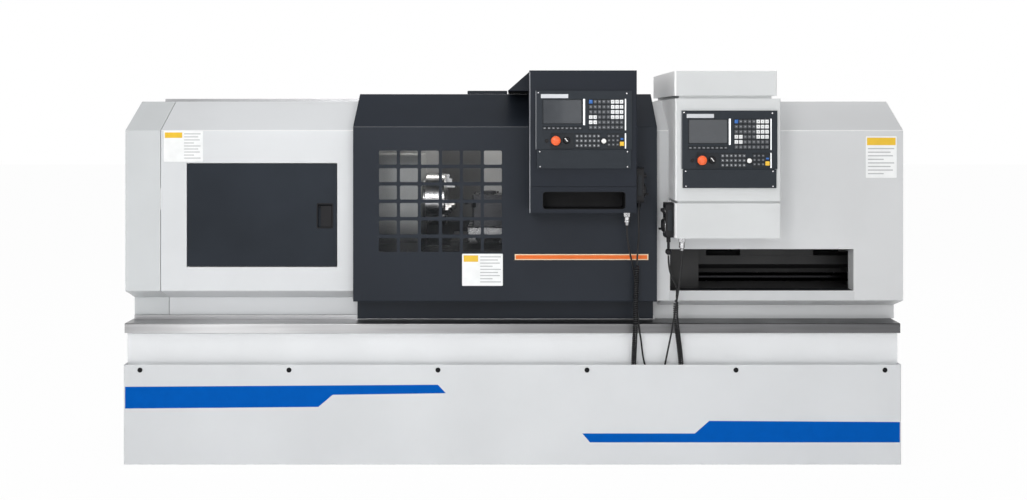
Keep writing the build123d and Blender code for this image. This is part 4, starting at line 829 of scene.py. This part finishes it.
def boss_tree(name, steps, sides=0):
    """Stand a stepped boss on each vertex: rises and scales in turn, on a round or rounded base."""
    tree = Grower(name, ["Width", "Height", "Corner", "Rise"])
    given = tree.given
    if sides:
        half = tree.add("ShaderNodeMath", {"operation": "MULTIPLY"}, Value=given["Width"])
        half[0].node.inputs[1].default_value = 0.5
        curve = tree.add("GeometryNodeCurvePrimitiveCircle", Resolution=sides, Radius=half[0])["Curve"]
    else:
        flat = tree.add("GeometryNodeCurvePrimitiveQuadrilateral", Width=given["Width"],
                        Height=given["Height"])["Curve"]
        curve = tree.add("GeometryNodeFilletCurve", {"mode": "POLY"}, Curve=flat, Count=3,
                         Radius=given["Corner"])["Curve"]
    base = tree.add("GeometryNodeFillCurve", {"mode": "NGONS"}, Curve=curve)["Mesh"]
    under = tree.add("GeometryNodeFlipFaces", Mesh=base)["Mesh"]
    solid, top = base, None
    for rise, scale in steps:
        lift = tree.add("ShaderNodeMath", {"operation": "MULTIPLY"}, Value=given["Rise"])
        lift[0].node.inputs[1].default_value = rise
        values = {"Mesh": solid, "Offset_Scale": lift[0], "Individual": False}
        if top is not None:
            values["Selection"] = top
        raised = tree.add("GeometryNodeExtrudeMesh", None, **values)
        top = raised["Top"]
        solid = tree.add("GeometryNodeScaleElements", None, Geometry=raised["Mesh"], Selection=top,
                         Scale=scale)["Geometry"]
    both = tree.tree.nodes.new("GeometryNodeJoinGeometry")
    tree.tree.links.new(solid, both.inputs[0])
    tree.tree.links.new(under, both.inputs[0])
    closed = tree.add("GeometryNodeMergeByDistance", Geometry=both.outputs[0], Distance=0.00001)["Geometry"]
    copies = tree.add("GeometryNodeInstanceOnPoints", Points=given["Geometry"], Instance=closed,
                      Rotation=given["Turn"])["Instances"]
    real = tree.add("GeometryNodeRealizeInstances", Geometry=copies)["Geometry"]
    painted = tree.add("GeometryNodeSetMaterial", Geometry=real, Material=given["Material"])["Geometry"]
    return tree.finish(painted)


FACING_OPERATOR = (math.pi / 2, 0.0, 0.0)
FACING_REAR = (-math.pi / 2, 0.0, 0.0)
FACING_RIGHT = (0.0, math.pi / 2, 0.0)
FACING_LEFT = (0.0, -math.pi / 2, 0.0)


def grow(name, tree, places, finish, width, rise, height=0.0, corner=0.0, turn=FACING_OPERATOR,
         body="root"):
    """Run a tree on a list of places in millimetres and keep what it makes as one mesh piece."""
    seeds = bpy.data.meshes.new(name)
    seeds.from_pydata([[value * MM for value in place] for place in places], [], [])
    source = bpy.data.objects.new(name, seeds)
    scene.collection.objects.link(source)
    modifier = source.modifiers.new("grow", "NODES")
    modifier.node_group = tree
    sizes = {"Width": width * MM, "Height": height * MM, "Corner": corner * MM, "Rise": rise * MM,
             "Turn": turn, "Material": finish}
    for item in tree.interface.items_tree:
        if item.in_out == "INPUT" and item.name in sizes:
            modifier[item.identifier] = sizes[item.name]
    bpy.context.view_layer.update()
    evaluated = source.evaluated_get(bpy.context.evaluated_depsgraph_get())
    mesh = bpy.data.meshes.new_from_object(evaluated)
    bpy.data.objects.remove(source)
    form = bmesh.new()
    form.from_mesh(mesh)
    bmesh.ops.recalc_face_normals(form, faces=form.faces)
    form.to_mesh(mesh)
    form.free()
    return show(name, mesh, finish, body)


# Control fascias

def on_fascia(letter, place, depth):
    """A place on a fascia, from its upper left corner; depth is behind its face."""
    x, y, z = FASCIAS[letter]
    return x + place[0], y - FASCIA_THICK + depth, z - place[1]


def fascia_plate(letter, area, depth, corner, edge, maker=plate, **more):
    """A plate or rim over an area of a fascia, which is its left, drop, width and height."""
    x, y, z = on_fascia(letter, area[:2], 0)
    span = (x, x + area[2]), (z - area[3], z), (y + depth[0], y + depth[1])
    return maker(*span, corner, edge=edge, **more)


def grid_places(first, pitch, columns, rows):
    return [(first[0] + pitch[0] * i, first[1] + pitch[1] * j) for j in rows for i in columns]


def make_fascia(letter, finishes, trees):
    def keys(name, places, finish, width, height, rise, depth, corner=1.5):
        spots = [on_fascia(letter, place, depth) for place in places]
        return grow(f"{name}_{letter}", trees["key"], spots, finishes[finish], width, rise, height, corner)

    def part(name, mesh, finish):
        return show(f"{name}_{letter}", mesh, finishes[finish])

    part("screen", fascia_plate(letter, (32, 38, 161, 99), (0.6, 3.0), 4, 0.8), "screen")
    border = fascia_plate(letter, (29.3, 35.3, 166.4, 104.4), (-0.6, 3.0), 5, 0.7, rim, width=3.4)
    part("screen_rim", border, "recess")
    strips = [fascia_plate(letter, area, (-1.2, 0.0), 0.8, 0.3)
              for area in ((199.5, 34, 8, 110), (374.5, 34, 5, 132), (374.5, 178, 5, 64))]
    part("edge_strips", joined(strips), "bezel")
    part("name_place", fascia_plate(letter, (22, 14, 115, 17), (-0.5, 0.0), 1.0, 0.2), "name_strip")
    areas = [(223, 35, 150, 130), (30, 150, 165, 14), (65, 178, 96, 64), (165, 178, 107, 64),
             (299, 178, 74, 64)]
    mats = [fascia_plate(letter, area, (2.0, 3.0), 2.0, 0.4) for area in areas]
    mat = part("key_mats", joined(mats), "recess")
    if letter == "a":
        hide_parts("keypads")
    first, pitch = (231.5, 46), (18.4, 21.5)
    white = grid_places(first, pitch, (5, 6, 7), range(4)) + grid_places(first, pitch, (0, 1), (3, 4))
    blue = grid_places(first, pitch, (0,), (0,))
    dark = [place for place in grid_places(first, pitch, range(8), range(6))
            if place not in white and place not in blue]
    keys("keys_white", white, "key_white", 15, 15.5, 4.0, 2.0)
    keys("keys_blue", blue, "key_blue", 15, 15.5, 4.0, 2.0)
    keys("keys_dark", dark, "key_dark", 14, 14, 3.6, 2.0)
    keys("key_marks", dark, "mark", 5.0, 2.2, 0.25, -1.6, 0.3)
    keys("digit_marks", white, "ink", 2.6, 3.6, 0.25, -2.0, 0.4)
    soft = grid_places((38, 157), (18.6, 1), range(9), (0,))
    keys("soft_keys", soft, "key_dark", 12, 8, 2.6, 2.0)
    keys("soft_marks", soft, "mark", 6.0, 1.8, 0.25, -0.6, 0.3)
    small = grid_places((174, 190), (18, 20), range(6), range(3))
    keys("mode_keys", small, "key_dark", 12.5, 12, 2.6, 2.0)
    keys("mode_marks", small, "mark", 5.0, 5.0, 0.25, -0.6, 1.0)
    right = grid_places((308, 190), (18, 18), range(3), range(3))
    keys("feed_keys", right, "key_dark", 10, 9, 2.6, 2.0)
    keys("feed_marks", right, "mark", 3.6, 1.8, 0.25, -0.6, 0.3)
    keys("key_yellow", [(362.5, 222.5)], "key_yellow", 18, 18, 4.0, 2.0, 2.5)
    keys("key_small_blue", [(362.5, 202)], "key_blue", 12, 7, 3.0, 2.0)
    screws = [(11, 8), (382, 11), (17.5, 255), (385, 255.5), (19, 318), (385, 319)]
    grow(f"plate_screws_{letter}", trees["screw"], [on_fascia(letter, place, 0) for place in screws],
         finishes["chrome"], 7.0, 2.4)
    ring = lathe([(3.0, 10.4), (3.0, 14.2), (-1.4, 14.2), (-2.2, 13.4), (-2.2, 10.4), (3.0, 10.4)],
                 on_fascia(letter, CYCLE_AT, 0), (0, 1, 0))
    lock = lathe([(3, 0), (3, 8), (-2.5, 8), (-3.2, 7), (-3.2, 0)], on_fascia(letter, LOCK_AT, 0), (0, 1, 0))
    part("control_rings", joined([ring, lock]), "black")


def make_controls(letter, finishes):
    """The parts of a fascia that move: emergency stop, override knob and cycle button."""
    x, y, z = on_fascia(letter, E_STOP_AT, 0)
    cap = [(0, 0), (0.3, 6), (1.2, 12), (2.8, 16.5), (5, 19), (7.5, 20), (11, 20), (13, 19), (14.5, 15),
           (15.5, 11), (52, 11), (52, 0)]
    show(f"stop_cap_{letter}", lathe(cap, (x, y - 30, z), (0, 1, 0), 64), finishes["stop"],
         f"e_stop_{letter}", replaces=[f"e_stop_{letter}"])
    x, y, z = on_fascia(letter, KNOB_AT, 2.7)
    grip = [(0, 0), (0, 10), (0.8, 12), (2, 12.6), (12, 14.2), (13, 15.5), (16, 15.5), (16, 5), (34, 5),
            (34, 0)]
    show(f"override_{letter}", lathe(grip, (x, y - 16, z), (0, 1, 0)), finishes["black"],
         f"knob_{letter}", replaces=[f"knob_{letter}"])
    pointer = plate((x - 1.8, x + 1.8), (z - 7, z + 12), (y - 18, y - 15.5), 1.4, 0.5)
    turn = Matrix.Rotation(math.radians(-40), 4, "Y")
    centre = Matrix.Translation((x * MM, y * MM, z * MM))
    pointer.transform(centre @ turn @ centre.inverted())
    show(f"override_pointer_{letter}", pointer, finishes["white"], f"knob_{letter}")
    x, y, z = on_fascia(letter, CYCLE_AT, 0)
    button = [(0, 0), (0.4, 6), (1.0, 8.8), (2.2, 10), (27, 10), (27, 0)]
    show(f"cycle_cap_{letter}", lathe(button, (x, y - 5, z), (0, 1, 0)), finishes["white"],
         f"cycle_button_{letter}", replaces=[f"cycle_button_{letter}"])


# Bands, notices and small metalwork

LEFT_BAND = [(-1693, 346), (-326, 355), (-291, 318), (-786, 311), (-848, 258), (-1693, 251)]
RIGHT_BAND = [(305, 142), (797, 142), (860, 197), (1693, 192), (1693, 103), (339, 103)]
HOOD_BAND_EDGE = [(10, 901), (593, 901), (593, 926.5), (10, 926.5)]
HOOD_BAND = [(14.5, 905), (588.5, 905), (588.5, 922), (14.5, 922)]
VINYL = 0.4
BAR_REACHES = (1.0, 0.86, 0.95, 0.6)
# Each notice's x, z, face and body, then its bars' x and z, its bars' count and its band's x and z.
NOTICES = {
    "notice_left": ((-1537, -1364), (1328, 1463), COVER_FACE, "root",
                    (-1447, -1374), (1336, 1456), 9, (-1532, -1455), (1433, 1457)),
    "notice_right": ((1557, 1693), (1257, 1440), COVER_FACE, "root",
                     (1566, 1682), (1266, 1392), 8, (1562, 1688), (1401, 1434)),
    "notice_hood": ((-220, -42), (788, 928), HOOD_FACE, "hood",
                    (-141, -51), (797, 920), 9, (-213, -150), (893, 921)),
}


def make_bands(finishes):
    """The vinyl bands on the apron and on the hood."""
    depth = (APRON_FACE - VINYL, APRON_FACE)
    show("apron_bands", joined([prism(LEFT_BAND, depth), prism(RIGHT_BAND, depth)]), finishes["blue_vinyl"])
    show("hood_band_edge", prism(HOOD_BAND_EDGE, (HOOD_FACE - VINYL, HOOD_FACE)), finishes["cream_vinyl"],
         "hood")
    show("hood_band", prism(HOOD_BAND, (HOOD_FACE - 1.5 * VINYL, HOOD_FACE)), finishes["orange_vinyl"],
         "hood")


def make_notices(finishes):
    """White plates with a yellow field and grey bars, which stand for printed notices."""
    for name, (x, z, face, body, rows_x, rows_z, count, band_x, band_z) in NOTICES.items():
        show(name, plate(x, z, (face - 0.8, face), 4.0, 0.3), finishes["notice"], body)
        print_depth = (face - 1.0, face - 0.7)
        show(f"{name}_band", plate(band_x, band_z, print_depth, 1.0, 0.1), finishes["notice_band"], body)
        bars = []
        pitch = (rows_z[1] - rows_z[0]) / count
        for row in range(count):
            top = rows_z[1] - pitch * (row + 0.25)
            reach = rows_x[0] + (rows_x[1] - rows_x[0]) * BAR_REACHES[row % 4]
            bars.append(plate((rows_x[0], reach), (top - pitch * 0.3, top), print_depth, 0.8, 0.1))
        show(f"{name}_bars", joined(bars), finishes["notice_bar"], body)


def make_door_trim(finishes):
    """The black bezel round the latch's recess."""
    bezel = rim(*LATCH_BEZEL, (COVER_FACE - 1.6, COVER_FACE), 6, 5.2, 0.7)
    show("latch_bezel", bezel, finishes["black"], "access_door")


def make_slot_trim(finishes):
    """The darker sill strip under the tail cover's slot, and the sheet that fills in its neck."""
    sill = plate(*SLOT_SILL, (COVER_FACE - 1.0, COVER_FACE), 1.0, 0.4)
    show("slot_sill", sill, finishes["sill"])
    infill = plate(*NECK_INFILL, (COVER_FACE + 0.3, COVER_FACE + 1.5), 0.5, 0.2)
    show("neck_infill", infill, finishes["tail"])


def make_arm_seal(finishes):
    """The brush strip under the first console's arm, which wipes the hood's roof."""
    show("arm_seal", plate(*ARM_SEAL, 1.0, 0.3), finishes["brush"])


def make_pocket_shade_liner(finishes):
    """A black liner in the tool pocket under the first console, as painted shade for the pocket's dark
    inside.
    """
    x, z, y = POCKET
    wall, corner = 1.2, 12.6
    outer, inner = rounded(x, z, corner), inset(x, z, wall, corner - wall)
    liner = walled([(outer, y[1]), (outer, y[0]), (inner, y[0]), (inner, y[1] - wall)])
    show("pocket_shade_liner", liner, finishes["liner"])


def make_connectors(finishes):
    """Round plugs with a knurled coupling ring and a clamp nut."""
    profile = [(0, 0), (0, 15), (3.2, 15), (4, 14.2), (4.1, 12.6), (6, 12.6), (6.5, 13.4), (25, 13.4),
               (25.5, 12.6), (27, 12.2), (40, 12.2), (41, 13), (49, 13), (50, 12.2), (51, 9),
               (53, 8), (61, 7.4), (62, 6.6), (62, 0)]
    plugs = [lathe(profile, place, (0, 0, -1), 72, (6.2, 25.2), 0.7) for place in CONNECTORS]
    show("connector_plugs", joined(plugs), finishes["chrome"],
         replaces=["connectors"])


def make_pendant_trim(letter, finishes, trees):
    """The dial ring with its ticks, the enabling bar and the bezel of each knob."""
    face, side, top = PENDANTS[letter]
    middle = top - DIAL_DROP
    ring = [(-0.6, 27.6), (0, 27.6), (0.9, 27.9), (0.9, 33.4), (0, 33.8), (-0.6, 33.8), (-0.6, 27.6)]
    collar = [(-0.6, 9.6), (0.8, 9.8), (0.8, 12.2), (0, 12.8), (-0.6, 12.8), (-0.6, 9.6)]
    collars = [lathe(ring, (face, PENDANT_Y, middle), (side, 0, 0), 64)]
    for y in (PENDANT_Y - SELECTOR_SPREAD, PENDANT_Y + SELECTOR_SPREAD):
        collars.append(lathe(collar, (face, y, top - SELECTOR_DROP), (side, 0, 0), 40))
    show(f"pendant_dial_{letter}", joined(collars), finishes["dial"])
    ticks = []
    for i in range(TICKS):
        angle = 2.0 * math.pi * i / TICKS
        across, up = TICK_RADIUS * math.sin(angle), TICK_RADIUS * math.cos(angle)
        ticks.append((face + side * 0.7, PENDANT_Y + across, middle + up))
    turn = FACING_RIGHT if side > 0 else FACING_LEFT
    grow(f"pendant_ticks_{letter}", trees["key"], ticks, finishes["ink"], 1.1, 0.4, 1.1, 0.2, turn)
    span = sorted((face - side * 27, face - side * 9))
    bar = plate(span, (top - 118, top - 30), (PENDANT_Y - 41.6, PENDANT_Y - 40), 5, 0.6)
    show(f"pendant_bar_{letter}", bar, finishes["recess"])


# Each screw's distance in front of the chuck's face and its radius.
JAW_STEPS = ((13, 108), (26, 87))


def make_jaw_screws(finishes, trees):
    """Two socket screws on the steps of each jaw."""
    for index in range(3):
        angle = math.radians(120 * index)
        spots = [(CHUCK_FACE + step, -radius * math.sin(angle), AXIS_Z + radius * math.cos(angle))
                 for step, radius in JAW_STEPS]
        grow(f"jaw_screws_{index + 1}", trees["screw"], spots, finishes["black_oxide"], 13.0, 4.0,
             turn=FACING_RIGHT, body=f"jaw_{index + 1}")


REAR_LEFT = -1690.0
REAR_RIGHT = 1708.0
REAR_PITCH = 290.8
CABINET_SPAN = (-1510.0, -490.0)
CABINET_TOP = 1540.0


def make_rear_screws(finishes, trees):
    """The screws that hold the rear sheet, along its edges and clear of the cabinet."""
    columns = [REAR_LEFT + REAR_PITCH * i for i in range(12)] + [REAR_RIGHT]
    spots = [(x, REAR_FACE, z) for x in columns for z in (640.0, 1575.0)
             if not (CABINET_SPAN[0] < x < CABINET_SPAN[1] and z < CABINET_TOP)]
    spots += [(x, REAR_FACE, z) for x in (REAR_LEFT, REAR_RIGHT) for z in (870.0, 1110.0, 1340.0)]
    grow("rear_screws", trees["screw"], spots, finishes["chrome"], 12.0, 3.0, turn=FACING_REAR)


def main():
    place_camera()
    finishes = make_finishes()
    dress_nodes(finishes)
    make_cords(finishes)
    trees = {
        "key": boss_tree("key_cap", [(0.55, 1.0), (0.3, 0.92), (0.15, 0.86)]),
        "screw": boss_tree("screw_head", [(0.6, 1.0), (0.4, 0.84), (0.0, 0.5), (-0.6, 0.96)], sides=20),
    }
    for letter in FASCIAS:
        make_fascia(letter, finishes, trees)
        make_controls(letter, finishes)
        make_pendant_trim(letter, finishes, trees)
    make_bands(finishes)
    make_notices(finishes)
    make_door_trim(finishes)
    make_slot_trim(finishes)
    make_arm_seal(finishes)
    make_pocket_shade_liner(finishes)
    make_connectors(finishes)
    make_jaw_screws(finishes, trees)
    make_rear_screws(finishes, trees)
    make_stage()
    light_stage()


main()
